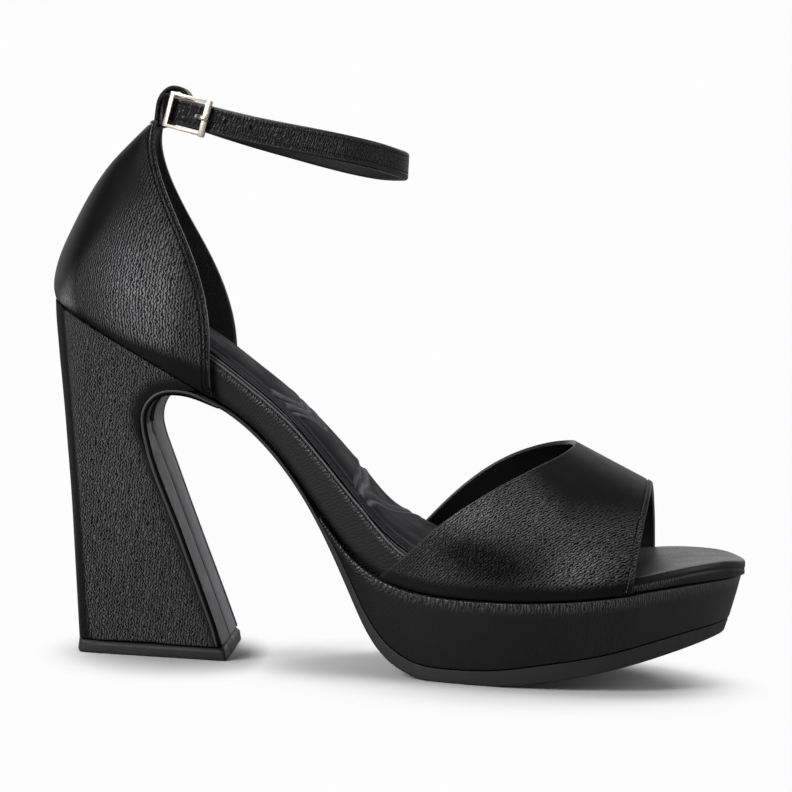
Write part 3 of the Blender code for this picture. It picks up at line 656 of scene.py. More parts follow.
def leather(name, across, pitch=0.88, along=0.65, depth=0.16, wander=1.9, shine=0.08, folds=(),
            fold_tone=0.0, lines=()):
    """across: how x, y, z and the wrap attribute count across the wrinkles.  pitch: mm from one
    wrinkle to the next.  along: how quickly a wrinkle wavers along its length, and wander how far.
    folds: mm from the sewn edge of the lines pressed along it and painted darker as shade, and
    fold_tone how light they stay.
    lines: mm below the piece's upper edge of raised lines, on which a highlight is painted."""
    made, tree, shader = new_material(name, BLACK, LEATHER_GLOSS, shine)
    plain = object_place(tree)
    side = add_node(tree, "VectorMath", {0: plain, 1: [share / pitch for share in across[:3]]},
                    operation="DOT_PRODUCT").outputs["Value"]
    wrapped = math_node(tree, "MULTIPLY", attribute(tree, "wrap"), across[3] / pitch)
    lean = math.degrees(math.atan2(across[2], abs(across[0]) + abs(across[3])))
    texture = add_node(tree, "Group", (), node_tree=grain)
    for socket, value in (("Across", math_node(tree, "ADD", side, wrapped)), ("Wander", wander),
                          ("Place", object_place(tree, (0, -lean, 0), (1.1, 1.1, along))),
                          ("Taut", attribute(tree, "taut"))):
        feed(tree, texture.inputs[socket], value)
    top = texture.outputs["Top"]
    normal = bump(tree, texture.outputs["Height"], depth)
    # The worn_and_lit attribute paints the grain's tops grey: wear, and painted highlight and shade.
    worn_lit_top = math_node(tree, "MULTIPLY", top, attribute(tree, "worn_and_lit"))
    # Painted shade along each sewn line: the grain's grey tops are darkened there.
    for fold in folds:
        line = ramp_node(tree, away_from(tree, "rim", fold), 0.08, 0.42, fold_tone)
        normal = bump(tree, line, FOLD_DEPTH, normal)
        worn_lit_top = math_node(tree, "MULTIPLY", worn_lit_top, line)
    # A highlight is painted along the turned edge.
    if folds:
        turned = ramp_node(tree, attribute(tree, "edge"), 0.15, 0.65, EDGE_LIGHT, 0.0)
        worn_lit_top = math_node(tree, "MAXIMUM", worn_lit_top, turned)
    # A highlight is painted on each raised line.
    for line in lines:
        painted_tone = ramp_node(tree, away_from(tree, "drop", line), 0.12, 0.50, LINE_LIGHT, 0.0)
        worn_lit_top = math_node(tree, "MAXIMUM", worn_lit_top, painted_tone)
    feed(tree, shader.inputs["Normal"], normal)
    feed(tree, shader.inputs["Base Color"], blend_colour(tree, worn_lit_top, BLACK, WORN_LIT_TOP))
    worn = noise_node(tree, plain, 0.12, 3.0)
    rough = ramp_node(tree, worn, 0.3, 0.7, LEATHER_GLOSS, LEATHER_GLOSS + 0.06)
    rough = math_node(tree, "ADD", rough, ramp_node(tree, top, 0.0, 0.6, VALLEY_DULL, 0.0))
    feed(tree, shader.inputs["Roughness"], rough)
    return made


counter_leather = leather("counter_leather", (0, 0, -0.16, 0.99), along=1.5, wander=1.6,
                          folds=(1.1, 2.3))
vamp_leather = leather("vamp_leather", (-0.70, 0, 0, 0.71), pitch=0.86, along=1.6, depth=0.10,
                       folds=(1.85,))
heel_leather = leather("heel_leather", (0, 0, 0.05, 1.0), pitch=0.84, along=1.6, depth=0.12,
                       wander=2.1)
platform_leather = leather("platform_leather", (0, 0, 0, 1.0), pitch=1.0, shine=0.34)
board_leather = leather("board_leather", (0, 0, 0, 1.0), pitch=0.95, depth=0.14, shine=0.28,
                        lines=BINDING)
strap_leather = leather("strap_leather", (0, 0, -0.3, 0.95), pitch=0.80, folds=(1.2,), shine=0.14,
                        fold_tone=0.6)
print("leathers:", [m.name for m in bpy.data.materials if "leather" in m.name])

# %% [markdown]
# ## Lining, cut edges, rubber, plastic and gold
#
# The inside of the upper is lined with a thin smooth synthetic that has only a very fine grain.
# Cut edges are painted black and a little glossy, with a slightly uneven coat. The outsole and
# the heel tip are matte moulded rubber with a fine sparkle from the mould. The front of the heel
# is grey moulded plastic that was left bare. The buckle is plated in a pale gold, with fine
# polishing lines. All are the same recipe with other numbers: small bumps from one noise, and
# colour and gloss that change slowly with another.

# %% Make the other finishes


def fine_finish(name, colour, roughness, scale, depth, metallic=0.0, spread=0.08,
                stretch=(1.0, 1.0, 1.0), tint=0.8, shine=0.4, painted_tone=None, across=None):
    """scale: the noise's fineness.  spread: how far the roughness strays.  tint: how dark the
    darkest places are.  painted_tone: another colour, painted in as a highlight where lit_line is 1,
    or else as shade where the attribute named across lies within 1 of 0."""
    made, tree, shader = new_material(name, colour, roughness, shine, metallic)
    place = object_place(tree, (0, 0, 0), stretch)
    small = noise_node(tree, place, scale, 3.0, 0.6)
    feed(tree, shader.inputs["Normal"], bump(tree, small, depth))
    slow = noise_node(tree, place, scale * 0.05, 3.0)
    rough = ramp_node(tree, slow, 0.3, 0.7, roughness - spread, roughness + spread)
    feed(tree, shader.inputs["Roughness"], rough)
    base = blend_colour(tree, slow, [c * tint for c in colour], colour)
    if across:
        near = ramp_node(tree, away_from(tree, across, 0.0), 0.8, 1.1, 1.0, 0.0)
        base = blend_colour(tree, near, base, painted_tone)
    elif painted_tone:
        base = blend_colour(tree, attribute(tree, "lit_line"), base, painted_tone)
    feed(tree, shader.inputs["Base Color"], base)
    return made


# The counter's lining is painted lighter than the toe's and the strap's, standing in for the light
# that hardly reaches inside the counter.
counter_lining_lit = fine_finish("counter_lining_lit", (0.120, 0.119, 0.124), 0.50, 1.4, 0.16)
toe_lining = fine_finish("toe_lining", (0.006, 0.006, 0.007), 0.60, 1.4, 0.12, shine=0.1)
strap_lining = fine_finish("strap_lining", (0.020, 0.020, 0.022), 0.60, 1.4, 0.12, shine=0.2)
painted_edge = fine_finish("painted_edge", (0.014, 0.014, 0.015), 0.38, 1.1, 0.05)
# A lighter grey for the heel's lip: a painted highlight.
lip_highlight_grey = fine_finish("lip_highlight_grey", (0.060, 0.060, 0.064), 0.45, 2.0, 0.05)
# Near-black for painted shade: in the groove by the heel's lip, over the arch beside the slit, and
# on the strap's end.
painted_shade_black = fine_finish("painted_shade_black", (0.003, 0.003, 0.003), 0.70, 2.0, 0.03, shine=0.05)
thread = fine_finish("black_thread", (0.035, 0.035, 0.038), 0.5, 6.0, 0.03)
# A lighter grey beside the pad's seams: a painted highlight.
insole_skin = fine_finish("insole_skin", (0.010, 0.010, 0.013), 0.66, 1.6, 0.045, shine=0.1,
                          painted_tone=(0.13, 0.13, 0.145))
rubber = fine_finish("sole_rubber", (0.015, 0.015, 0.016), 0.60, 3.5, 0.05)
tip_rubber = fine_finish("tip_rubber", (0.024, 0.024, 0.026), 0.55, 3.5, 0.05)
# The slit between the breast's halves is coloured near-black: painted shade.
breast_plastic = fine_finish("breast_plastic", (0.460, 0.452, 0.484), 0.58, 4.0, 0.035, shine=0.22,
                             painted_tone=(0.003, 0.003, 0.004), across="slit")
gold = fine_finish("buckle_gold", (0.76, 0.69, 0.57), 0.30, 2.5, 0.003, metallic=1.0,
                   spread=0.05, stretch=(0.3, 1.0, 3.0), tint=0.94)
# A darker, duller copy of the gold: the painted reflection of the dark leather.
buckle_shaded_gold = fine_finish("buckle_shaded_gold", (0.50, 0.47, 0.49), 0.42, 2.5, 0.003, metallic=0.35)
print("finishes:", len(bpy.data.materials))

# %% [markdown]
# ## The heel counter
#
# The counter is cut flat, lasted round the heel and folded over at its free edges, where a row of
# stitches holds the fold down. The copy of the solid is sorted into skin, painted edge and lining,
# smoothed, and then the fold is pressed in: a soft bead along the edge and a shallow channel where
# the thread pulls the leather down. At the back and along the low edge the leather is lasted so
# tight that it has no grain. A highlight is painted into its colour down the back edge and over the
# middle of the counter, and shade near its front edge.

# %% Shape the counter
COUNTER_FOLD = 1.9                       # mm from the edge to its stitches
COUNTER_TAUT = ((96.0, 110.3, 121.6, 130.6, 138.1, 145.8, 160.5),
                (-109.5, -105.5, -100.5, -95.0, -89.5, -83.5, -83.5))    # z, x; tight behind it
LOWER_EDGE = (-55.3, 81.6, -0.492)       # x and z of the counter's lower corner, and its slope
LOW_BAND = ((-110.0, -85.0, -66.0, -56.0), (2.5, 4.0, 7.5, 8.5))    # x, and its height there
NEARLY = 0.97                            # a trace of grain stays where the leather is tight


def make_counter():
    low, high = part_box("counter")
    middle = (low + high) / 2
    side = Vector((middle.x - 0.012, low.y, low.z + 0.35 * (high.z - low.z)))
    return shell_of("counter", "heel_counter", (counter_leather, painted_edge, counter_lining_lit),
                    side, (0, -1, 0), 2.0, 38)


def above_lower_edge(place):
    x, z, slope = LOWER_EDGE
    return place.z / MM > z + slope * (place.x / MM - x) + 3.0


heel_counter = make_counter()
counter_chains = sew_fold(heel_counter, above_lower_edge, above_lower_edge, COUNTER_FOLD)
x, y, z = places_of(heel_counter).T
note_wrap(heel_counter, y, x - x.min())
back = np.interp(z, *COUNTER_TAUT)
corner_x, corner_z, slope = LOWER_EDGE
height = z - corner_z - slope * (x - corner_x) - np.interp(x, *LOW_BAND)
taut = 1.0 - np.minimum(step_up(x, back - 5.0, back + 5.0), step_up(height, -2.0, 2.0))
note(heel_counter, "taut", taut * NEARLY)
# Painted highlight down the back edge, where the counter turns away; the spots paint a highlight
# over the middle of the counter and shade near its front edge.
painted_back_highlight = step_up(-normals_of(heel_counter)[:, 0], 0.60, 0.98) * step_up(z, 98.0, 114.0)
paint_wear_and_light(heel_counter, 0.22, ((-78, 112, 13, 20, 0.62), (-87, 118, 7, 12, 0.15),
                         (-66, 122, 5, 22, -0.3)), more=5.0 * painted_back_highlight)
finish_piece(heel_counter, "counter", "upper_leather")
print("counter edge:", [len(chain) for chain in counter_chains])

# %% [markdown]
# ## The vamp
#
# The vamp is one band of leather over the toes. Its rear edge sweeps down from the crown to the
# sole, and its front edge is nearly upright and sewn with a visible row of small stitches. It is
# made as the counter is. Here the crown, the lowest strip and the rear corner are pulled tight.

# %% Shape the vamp
VAMP_FOLD = 1.85
VAMP_TAUT = ((36.0, 44.0, 48.5, 55.9, 71.0), (72.0, 64.0, 59.7, 54.2, 53.8))    # x, z; tight above


def make_vamp():
    spot = Vector((0.045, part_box("vamp")[0].y, 0.040))
    return shell_of("vamp", "toe_vamp", (vamp_leather, painted_edge, toe_lining), spot,
                    (0, -1, 0.2), 4.0, 40)


toe_vamp = make_vamp()
vamp_chains = sew_fold(toe_vamp, lambda place: place.x > 0.066 and place.z > 0.031,
                       lambda place: place.z > 0.036, VAMP_FOLD, bead=0.10)
x, y, z = places_of(toe_vamp).T
note_wrap(toe_vamp, y, z.max() - z)
points = points_of(toe_vamp)
low_line = points[normals_of(toe_vamp)[:, 2] < -0.9]
low_strip = 1.0 - step_up(distance_to(points, low_line), 2.5, 6.0)
crown = np.interp(x, *VAMP_TAUT)
taut = np.maximum.reduce([step_up(z, crown - 7.0, crown + 7.0), low_strip,
                          0.6 * (1.0 - step_up(x, 6.0, 20.0))])
note(toe_vamp, "taut", taut * NEARLY)
# The spots paint highlights on the upper rear, the upper middle and the lower front of the vamp, and
# shade low down towards its rear edge.
paint_wear_and_light(toe_vamp, 0.28, ((26, 53, 11, 6, 0.42), (61, 38, 9, 7, 0.40), (24, 42, 9, 5, -0.20),
                     (35, 37, 14, 7, -0.32), (48, 52, 12, 8, 0.12)))
finish_piece(toe_vamp, "vamp", "upper_leather")
print("vamp edge:", [len(chain) for chain in vamp_chains])

# %% [markdown]
# ## The row of stitches
#
# The vamp's front fold is held by one row of small stitches. One stitch is modelled, a thread pulled
# into a short bead with tapered ends, and copied along a line that runs a fixed distance inside
# the edge.

# %% Sew the vamp's front edge
STITCH_PITCH = 1.25
STITCH_LENGTH = 0.95
STITCH_WIDTH = 0.42
STITCH_LIFT = 0.03


def model_stitch():
    """A bead of thread lying along x."""
    bpy.ops.object.select_all(action="DESELECT")
    bpy.ops.mesh.primitive_cylinder_add(vertices=6, radius=STITCH_WIDTH / 2 * MM,
                                        depth=STITCH_LENGTH * 0.5 * MM, rotation=(0, math.pi / 2, 0))
    stitch = bpy.context.object
    bpy.ops.object.transform_apply(location=False, rotation=True, scale=False)
    for side in (-1, 1):
        pick(stitch, "FACE", lambda face: face.normal.x * side > 0.9)
        bpy.ops.mesh.extrude_region_move(TRANSFORM_OT_translate={
            "value": (side * STITCH_LENGTH * 0.25 * MM, 0, 0)})
        bpy.ops.transform.resize(value=(1, 0.45, 0.45))
        leave()
    stitch.data.materials.append(thread)
    return stitch


def sew_row(name, piece, chain, inset):
    """Copies of the stitch along a rim, moved inwards over the skin."""
    faces = [tuple(face.vertices) for face in skin_faces(piece)]
    surface = BVHTree.FromPolygons([v.co.copy() for v in piece.data.vertices], faces)
    path = points_of(piece)[chain]
    walked = np.concatenate([[0.0], np.cumsum(np.linalg.norm(np.diff(path, axis=0), axis=1))])

    def on_path(mark):
        return Vector([float(np.interp(mark, walked, path[:, k])) for k in range(3)])

    first = model_stitch()
    copies = []
    for mark in np.arange(STITCH_PITCH, walked[-1] / MM - STITCH_PITCH, STITCH_PITCH) * MM:
        spot = on_path(mark)
        forward = (on_path(mark + MM) - spot).normalized()
        inward = surface.find_nearest(spot)[1].cross(forward).normalized() * inset * MM
        choices = [surface.find_nearest(spot + way * inward) for way in (-1, 1)]
        place, normal = min(choices, key=lambda found: found[3])[:2]
        forward = (forward - normal * forward.dot(normal)).normalized()
        turn = Matrix((forward, normal.cross(forward), normal)).transposed().to_quaternion()
        copy = bpy.data.objects.new("stitch", first.data.copy())
        bpy.context.scene.collection.objects.link(copy)
        copy.matrix_world = Matrix.LocRotScale(place + normal * STITCH_LIFT * MM, turn, None)
        copies.append(copy)
    bpy.data.objects.remove(first)
    lone(copies[0])
    for copy in copies:
        copy.select_set(True)
    bpy.ops.object.join()
    row = bpy.context.object
    bpy.ops.object.transform_apply(location=True, rotation=True, scale=True)
    row.name = name
    bpy.ops.object.shade_smooth()
    print(name, "stitches:", len(copies))
    return row


vamp_stitches = sew_row("vamp_stitches", toe_vamp, vamp_chains[0], VAMP_FOLD)
finish_piece(vamp_stitches, None, "upper_leather")

# %% [markdown]
# ## The insole board
#
# The board is a core wrapped in the upper's leather. Its edge shows along the whole side of the
# foot: two raised lines of binding under the rim, and below them the tiny pleats that the leather
# makes where it is stretched round a curved edge. The upright sides are cut into strips first, so
# that the lines have a mesh to stand on. Pleats follow the edge, so their count runs along it.

# %% Helpers for an edge that runs along a piece
SIDE_BINS = 140


def upper_edge(piece):
    """x marks along the piece, and for each of its two sides a mask and the edge's heights."""
    where = places_of(piece)
    upright = np.abs(normals_of(piece)[:, 2]) < 0.75
    marks = np.linspace(where[:, 0].min(), where[:, 0].max(), SIDE_BINS)
    level = np.rint(np.interp(where[:, 0], marks, np.arange(SIDE_BINS))).astype(int)
    masks = (where[:, 1] < 0, where[:, 1] >= 0)
    both = []
    for side in masks:
        heights = np.array([where[upright & side & (level == k), 2].max(initial=-1.0)
                            for k in range(SIDE_BINS)])
        known = heights > 0
        heights = np.interp(marks, marks[known], heights[known])
        both.append(np.convolve(np.pad(heights, 2, mode="edge"), np.ones(5) / 5, mode="valid"))
    shared = step_up(marks, marks[-1] - 25.0, marks[-1] - 8.0)
    middle = (both[0] + both[1]) / 2
    return marks, [(mask, heights + (middle - heights) * shared)
                   for mask, heights in zip(masks, both)]


def along_edge(piece):
    """mm below the upper edge of the vertex's own side, and mm counted along that edge, from
    side to side round the toe."""
    where = places_of(piece)
    marks, sides = upper_edge(piece)
    drop, count = np.zeros((2, len(where)))
    for side, heights in sides:
        x, y, z = where[side].T
        edge = np.interp(x, marks, heights)
        slope = np.gradient(heights, marks)
        run = np.concatenate([[0.0], np.cumsum(np.hypot(np.diff(marks), np.diff(heights)))])
        left = run[-1] - np.interp(x, marks, run)
        lean = np.interp(x, marks, slope / np.hypot(1.0, slope))
        drop[side] = edge - z
        count[side] = y + np.sign(y) * (left + lean * (edge - z))
    return np.maximum(drop, 0.0), count


# %% Shape the insole board
SOFT_FROM = 62.0                         # x in mm from which the board's rim is round
BOARD_TIP = 112.8
TOE_LIFT = 0.9
TOE_DROOP = 1.6
LEDGE = 0.7                              # mm that the rim stands above the board
LINE_END = 58.0                          # x in mm where the binding's lines run out


def make_board():
    piece = copy_of("insole_board", "wrapped_board")
    piece.data.materials.append(board_leather)
    places = places_of(piece)

    def upright(edge):
        a, b = (places[v] for v in edge.vertices)
        return np.hypot(a[0] - b[0], a[1] - b[1]) < 0.4 and abs(a[2] - b[2]) > 3.5

    pick(piece, "EDGE", upright)
    bpy.ops.mesh.subdivide(number_cuts=3)
    leave()
    crease_sharp(piece, 38, 0.6)
    places = places_of(piece)
    middle = np.median(places[places[:, 0] > SOFT_FROM, 2])

    def soft(edge):
        a, b = (places[v] for v in edge.vertices)
        return min(a[0], b[0]) > SOFT_FROM and (a[2] + b[2]) / 2 > middle

    pick(piece, "EDGE", soft)
    bpy.ops.transform.edge_crease(value=-1.0)
    leave()
    smooth(piece, 3)
    return piece


def raise_rim(piece):
    """Lifts the upper side's rim a little along the waist."""
    points = points_of(piece)
    upward = normals_of(piece)[:, 2]
    rim = hump(distance_to(points, points[np.abs(upward) < 0.5]), 2.2) * (upward > 0.5)
    rim *= 1 - step_up(points[:, 0] / MM, 50.0, 62.0)
    put_points(piece, points + np.outer(rim, (0, 0, LEDGE * MM)))


def bind_edge(piece):
    """The binding's two lines with a channel below, and the pleats under them."""
    drop = along_edge(piece)[0]
    side = np.abs(normals_of(piece)[:, 2]) < 0.75
    onward = places_of(piece)[:, 0]
    note(piece, "drop", np.where(side & (onward < LINE_END), drop, FAR))
    lines = sum(hump(drop - line, 0.6) for line in BINDING) * side
    lines *= 1 - step_up(onward, LINE_END, 76.0)
    press(piece, 0.20 * lines - 0.25 * hump(drop - 2.2, 0.6) * side)
    note(piece, "wrap", along_edge(piece)[1])
    onward = places_of(piece)[:, 0]
    pleated = step_up(drop, 1.7, 2.4) * (1 - step_up(drop, 3.0, 5.5))
    pleated *= 1 - step_up(onward, 84, 96)
    note(piece, "taut", np.where(side, 0.90 - 0.60 * pleated, 0.72))
    # Painted shade in the channel under the binding: the grain's grey tops are darkened there.
    channel_shade = 1 - 0.85 * hump(drop - 2.15, 0.55)
    # The board's upper face is painted light grey, lighter still towards the toe, as the reflection
    # it catches.
    note(piece, "worn_and_lit", np.where(side, (0.04 + 0.24 * pleated) * channel_shade,
                                   1.55 + 0.9 * step_up(onward, 85, 110)))


def round_toe(piece):
    """Raises the board a little behind its tip and lets its upper side curve down to the tip."""
    where = places_of(piece)
    behind = where[:, 0] - BOARD_TIP
    raised = TOE_LIFT * hump(behind + 13.0, 32.0)
    lowered = TOE_DROOP * np.clip((behind + 9.0) / 9.0, 0, 1) ** 2
    where[:, 2] += (raised - lowered) * (1 - step_up(along_edge(piece)[0], 2.0, 5.0))
    put_points(piece, where * MM)


insole_board = make_board()
raise_rim(insole_board)
bind_edge(insole_board)
round_toe(insole_board)
finish_piece(insole_board, "insole_board", "upper_leather")

# %% [markdown]
# ## The platform
#
# The platform is a light block wrapped in the same leather. The leather is pulled smooth all over
# its side, and only right under its upper edge does it gather into fine pleats, fewer at the toe.

# %% Shape the platform
platform_block = wrap("platform", "wrapped_platform", platform_leather, 3)
drop, count = along_edge(platform_block)
note(platform_block, "wrap", count)
toewards = step_up(places_of(platform_block)[:, 0], 40.0, 90.0)
gathered = (1 - step_up(drop, 1.0, 4.5)) * (1 - 0.6 * toewards)
note(platform_block, "taut", np.clip(0.93 + 0.04 * toewards - 0.75 * gathered, 0, 1))
# The pleats' tops are grey, and a highlight is painted in that grows towards the toe.
note(platform_block, "worn_and_lit", 0.06 + 0.20 * gathered + 0.55 * toewards)
finish_piece(platform_block, "platform", "upper_leather")

# %% [markdown]
# ## The outsole
#
# The outsole is one moulded sheet of matte rubber under the platform, which thins out along the
# waist. Shallow slanting grooves are pressed into the part that touches the ground, and its rear
# end is tucked back and up under the heel's arch.

# %% Shape the outsole
TREAD_PITCH = 4.2                        # mm from one groove to the next
TREAD_WIDTH = ((-20.0, 5.0, 40.0, 70.0, 104.0), (20.0, 34.0, 35.0, 29.0, 2.0))    # x, half width


def cut_tread(piece):
    """Slanting grooves in the part of the sole that touches the ground."""
    x, y, z = places_of(piece).T
    under = (normals_of(piece)[:, 2] < -0.9) * (x > -10)
    inside = step_up(np.interp(x, *TREAD_WIDTH) - np.abs(y), 2.0, 4.0) * under
    groove = np.mod(x + 0.35 * np.abs(y), TREAD_PITCH) - TREAD_PITCH / 2
    press(piece, -0.5 * hump(groove, 0.9) * inside)


moulded_sole = wrap("outsole", "moulded_outsole", rubber, 3, strength=0.8)
places = places_of(moulded_sole)
back = step_up(-places[:, 0], 53.0, 59.0)
put_points(moulded_sole, (places + np.outer(back, (-9.0, 0.0, 3.6))) * MM)
cut_tread(moulded_sole)
finish_piece(moulded_sole, "outsole", "sole_rubber")

# %% [markdown]
# ## The heel block
#
# The heel is a moulding wrapped in leather. At the back the leather ends in a narrow smooth strip
# with a seam beside it, and round the arch it is pulled tight over the moulding's corner. On the
# far side of the arch the lip's inner faces are bare plastic.

# %% Shape the heel block
BACK_STRIP = 5.4                         # mm from the rear to the seam of the back strip
ARCH = ((-50.9, 4.6), (-52.8, 10.5), (-59.0, 25.3), (-65.5, 40.6), (-72.9, 56.6),
        (-75.5, 63.2), (-77.5, 70.0), (-78.2, 73.1), (-78.3, 76.2), (-77.3, 79.5),
        (-74.7, 82.3), (-72.4, 83.3), (-70.0, 83.7), (-65.6, 83.6), (-61.7, 82.6),
        (-58.2, 81.1), (-54.3, 79.6))    # x and z of the heel's front edge, from the ground up
TIGHT = ((60.0, 80.0), (3.2, 7.0))       # z, and mm from the arch that the leather is tight

heel_cover = wrap("heel_block", "heel_cover", heel_leather, 3, strength=0.7)
x, y, z = places_of(heel_cover).T
note_wrap(heel_cover, y, x - x.min())
forward = x - reach_of(x, z, 40, np.min)
press(heel_cover, -0.30 * hump(forward - BACK_STRIP, 0.8) * (np.abs(y) > 8))
tight = np.interp(z, *TIGHT)
lasted = 1 - step_up(line_distance(x, z, ARCH), tight * 0.3, tight)
strip = 1 - step_up(forward, BACK_STRIP - 0.6, BACK_STRIP + 0.2)
note(heel_cover, "taut", np.maximum(strip * 0.9, lasted * 0.95))
# The spot paints a faint highlight in a tall band on the heel's side, near its back.
paint_wear_and_light(heel_cover, 0.33, ((-85, 60, 12, 30, 0.08),))
heel_cover.data.materials.append(breast_plastic)
paint(heel_cover, 1,
      lambda face, x, y, z: face.normal.y < -0.5 and y > 20.0 and abs(z - 45) < 42)
note(heel_cover, "slit", FAR)
finish_piece(heel_cover, "heel_block", "upper_leather")

# %% [markdown]
# ## The heel breast
#
# The breast is the heel's front face, of bare grey plastic. It is moulded in two halves, and a
# slit stays where they meet, wider towards the top, with the shade in it painted nearly black. A
# shallow channel runs beside the leather on both sides, and the leather covers the breast's
# outermost strip and the top of the arch, where the shade in the hollow beside the slit is painted
# black.

# %% Shape the breast
SLIT_Y = 6.5                             # the slit's inner side
SLIT_WIDTH = ((5.0, 60.0, 71.0, 73.5), (2.0, 2.8, 4.6, 8.0))    # z, and its width there
BARE = (-17.0, 24.5)                     # y in mm between which the plastic is bare
ARCH_TOP = 72.3                          # z in mm above which the outer half is covered

breast = wrap("heel_breast", "heel_breast_plate", breast_plastic, 3, strength=0.8)
breast.data.materials.append(heel_leather)
breast.data.materials.append(painted_shade_black)
x, y, z = places_of(breast).T
half_slit = np.interp(z, *SLIT_WIDTH) / 2
from_middle = y - SLIT_Y + half_slit
note(breast, "slit", from_middle / half_slit)
slit = 1 - step_up(np.abs(from_middle) - half_slit, -0.5, 0.4)
bare = np.minimum(y - BARE[0], BARE[1] - y)
ahead = normals_of(breast)[:, 0] > 0.3
press(breast, ahead * (-0.5 * hump(bare, 0.9) - 0.8 * slit))
paint(breast, 1, lambda face, x, y, z: y < BARE[0] or (z > ARCH_TOP and y < SLIT_Y))
# Painted shade: over the arch's top, between the leather and the slit, the faces are made black.
paint(breast, 2, lambda face, x, y, z: z > ARCH_TOP and -2.0 < y < SLIT_Y)
note(breast, "wrap", y)
note(breast, "taut", 0.8)
# The leather next to the black patch gets no grey on its grain tops: painted shade.
paint_wear_and_light(breast, 0.22, more=-0.22 * step_up(y, -3.0, -1.0))
finish_piece(breast, "heel_breast", "breast_plastic")

# %% [markdown]
# ## The heel's turned lip
#
# The leather is turned over at the front edge of the heel, and its thin lip is painted a lighter
# grey for the line of light it catches all round the arch. The groove between the lip and the
# plastic is a black bar: painted shade. Both are thin bars: a plate is extruded ring by ring, the
# rings are laid along the arch, and a subdivision surface rounds them. The last rings run out thin,
# where the lip goes under the sole.

# %% Bend the lip and its groove, and shape the tip
LIP_RINGS = 48
THIN_RINGS = 5
THINNING = 0.45                          # share of the width that the last ring loses


def sweep(name, path, wide, deep, y, aside):
    """A bar that follows a path given as (x, z), with its middle at this y and pushed aside
    from the path, towards the breast.  All in mm."""
    path = np.array(path)
    walked = np.r_[0, np.cumsum(np.linalg.norm(np.diff(path, axis=0), axis=1))]
    marks = np.linspace(0, walked[-1], LIP_RINGS + 1)
    centres = np.array([np.interp(marks, walked, path[:, k]) for k in (0, 1)]).T
    along = np.gradient(centres, axis=0)
    along /= np.linalg.norm(along, axis=1)[:, None]
    bpy.ops.object.select_all(action="DESELECT")
    bpy.ops.mesh.primitive_plane_add(size=1.0)
    bar = bpy.context.object
    bar.name = name
    enter(bar, action="SELECT")
    for ring in range(LIP_RINGS):
        bpy.ops.mesh.extrude_region_move(TRANSFORM_OT_translate={"value": (0, 0, 1.0)})
    bpy.ops.mesh.select_all(action="SELECT")
    bpy.ops.mesh.faces_shade_smooth()
    leave()
    flat = points_of(bar)
    ring = np.clip(np.rint(flat[:, 2]).astype(int), 0, LIP_RINGS)
    out = np.array([along[ring, 1], -along[ring, 0]]).T
    thin = 1 - THINNING * step_up(ring, LIP_RINGS - THIN_RINGS, LIP_RINGS)
    plan = centres[ring] + out * ((flat[:, 0] * wide + aside) * thin)[:, None]
    put_points(bar, np.array([plan[:, 0], y + flat[:, 1] * deep * thin, plan[:, 1]]).T * MM)
    turn_outwards(bar)
    smooth(bar, 2)
    return bar


heel_lip = sweep("heel_lip", ARCH, wide=1.0, deep=1.5, y=-24.45, aside=-0.30)
finish_piece(heel_lip, None, "upper_leather", lip_highlight_grey)
# A black bar between the lip and the breast: the groove's painted shade.
lip_groove_shade = sweep("lip_groove_shade", ARCH, wide=1.35, deep=1.3, y=-24.05, aside=0.45)
finish_piece(lip_groove_shade, None, "upper_leather", painted_shade_black)
tip = wrap("heel_tip", "heel_tip_rubber", tip_rubber, 2, strength=0.85)
finish_piece(tip, "heel_tip", "sole_rubber")

# %% [markdown]
# ## The insole pad
#
# The pad is foam under a thin smooth skin. A seam runs all round it, a few millimetres in from its
# edge, two chevrons mark the end of the heel cushion, and two seams part the arch cushion from the
# forefoot cushion. A cloth simulation with a little air pressure puffs the skin up between the
# seams, which are held still, and one more subdivision smooths what it leaves. The seams are then
# pressed in, and a line of light beside them is painted into the skin's colour, as is a lighter
# tone on the pad's side wall.

# %% Shape the pad
PAD_BORDER = 4.6                         # mm from the pad's edge to its seam
CHEVRONS = (((-38.0, 17.0), (-35.3, 15.5), (-31.9, 10.4), (-29.7, 2.3), (-29.4, 0.0)),
            ((-36.4, 20.0), (-32.7, 17.1), (-28.3, 9.4), (-24.2, 2.0), (-23.8, 0.0)))
ARCH_SEAMS = (((-10.0, -24.0), (-9.1, -10.0), (-10.1, 1.6), (-13.0, 22.0)),
              ((-7.6, -26.1), (-4.8, -13.0), (-2.3, -6.1), (1.8, 6.6), (7.0, 24.0)))
PUFF_PRESSURE = 4.0
PUFF_FRAMES = 20
PUFF_LIMIT = 0.9                         # mm that the skin may rise


def seam_distance(piece):
    """Distance to the nearest seam, how far inside the border seam each vertex lies, and
    whether it is on the upper side."""
    x, y, z = places_of(piece).T
    low, high = (reach_of(y, x, 60, extreme, first=1) for extreme in (np.min, np.max))
    inside = np.minimum.reduce([y - low, high - y, x - x.min()]) - PAD_BORDER
    folded = np.abs(y - (low + high) / 2)
    nearest = np.minimum.reduce([line_distance(x, folded, line) for line in CHEVRONS]
                                + [line_distance(x, y, line) for line in ARCH_SEAMS])
    nearest = np.where(inside > -0.5, nearest, FAR)
    return np.minimum(nearest, np.abs(inside)), inside, normals_of(piece)[:, 2] > 0.3


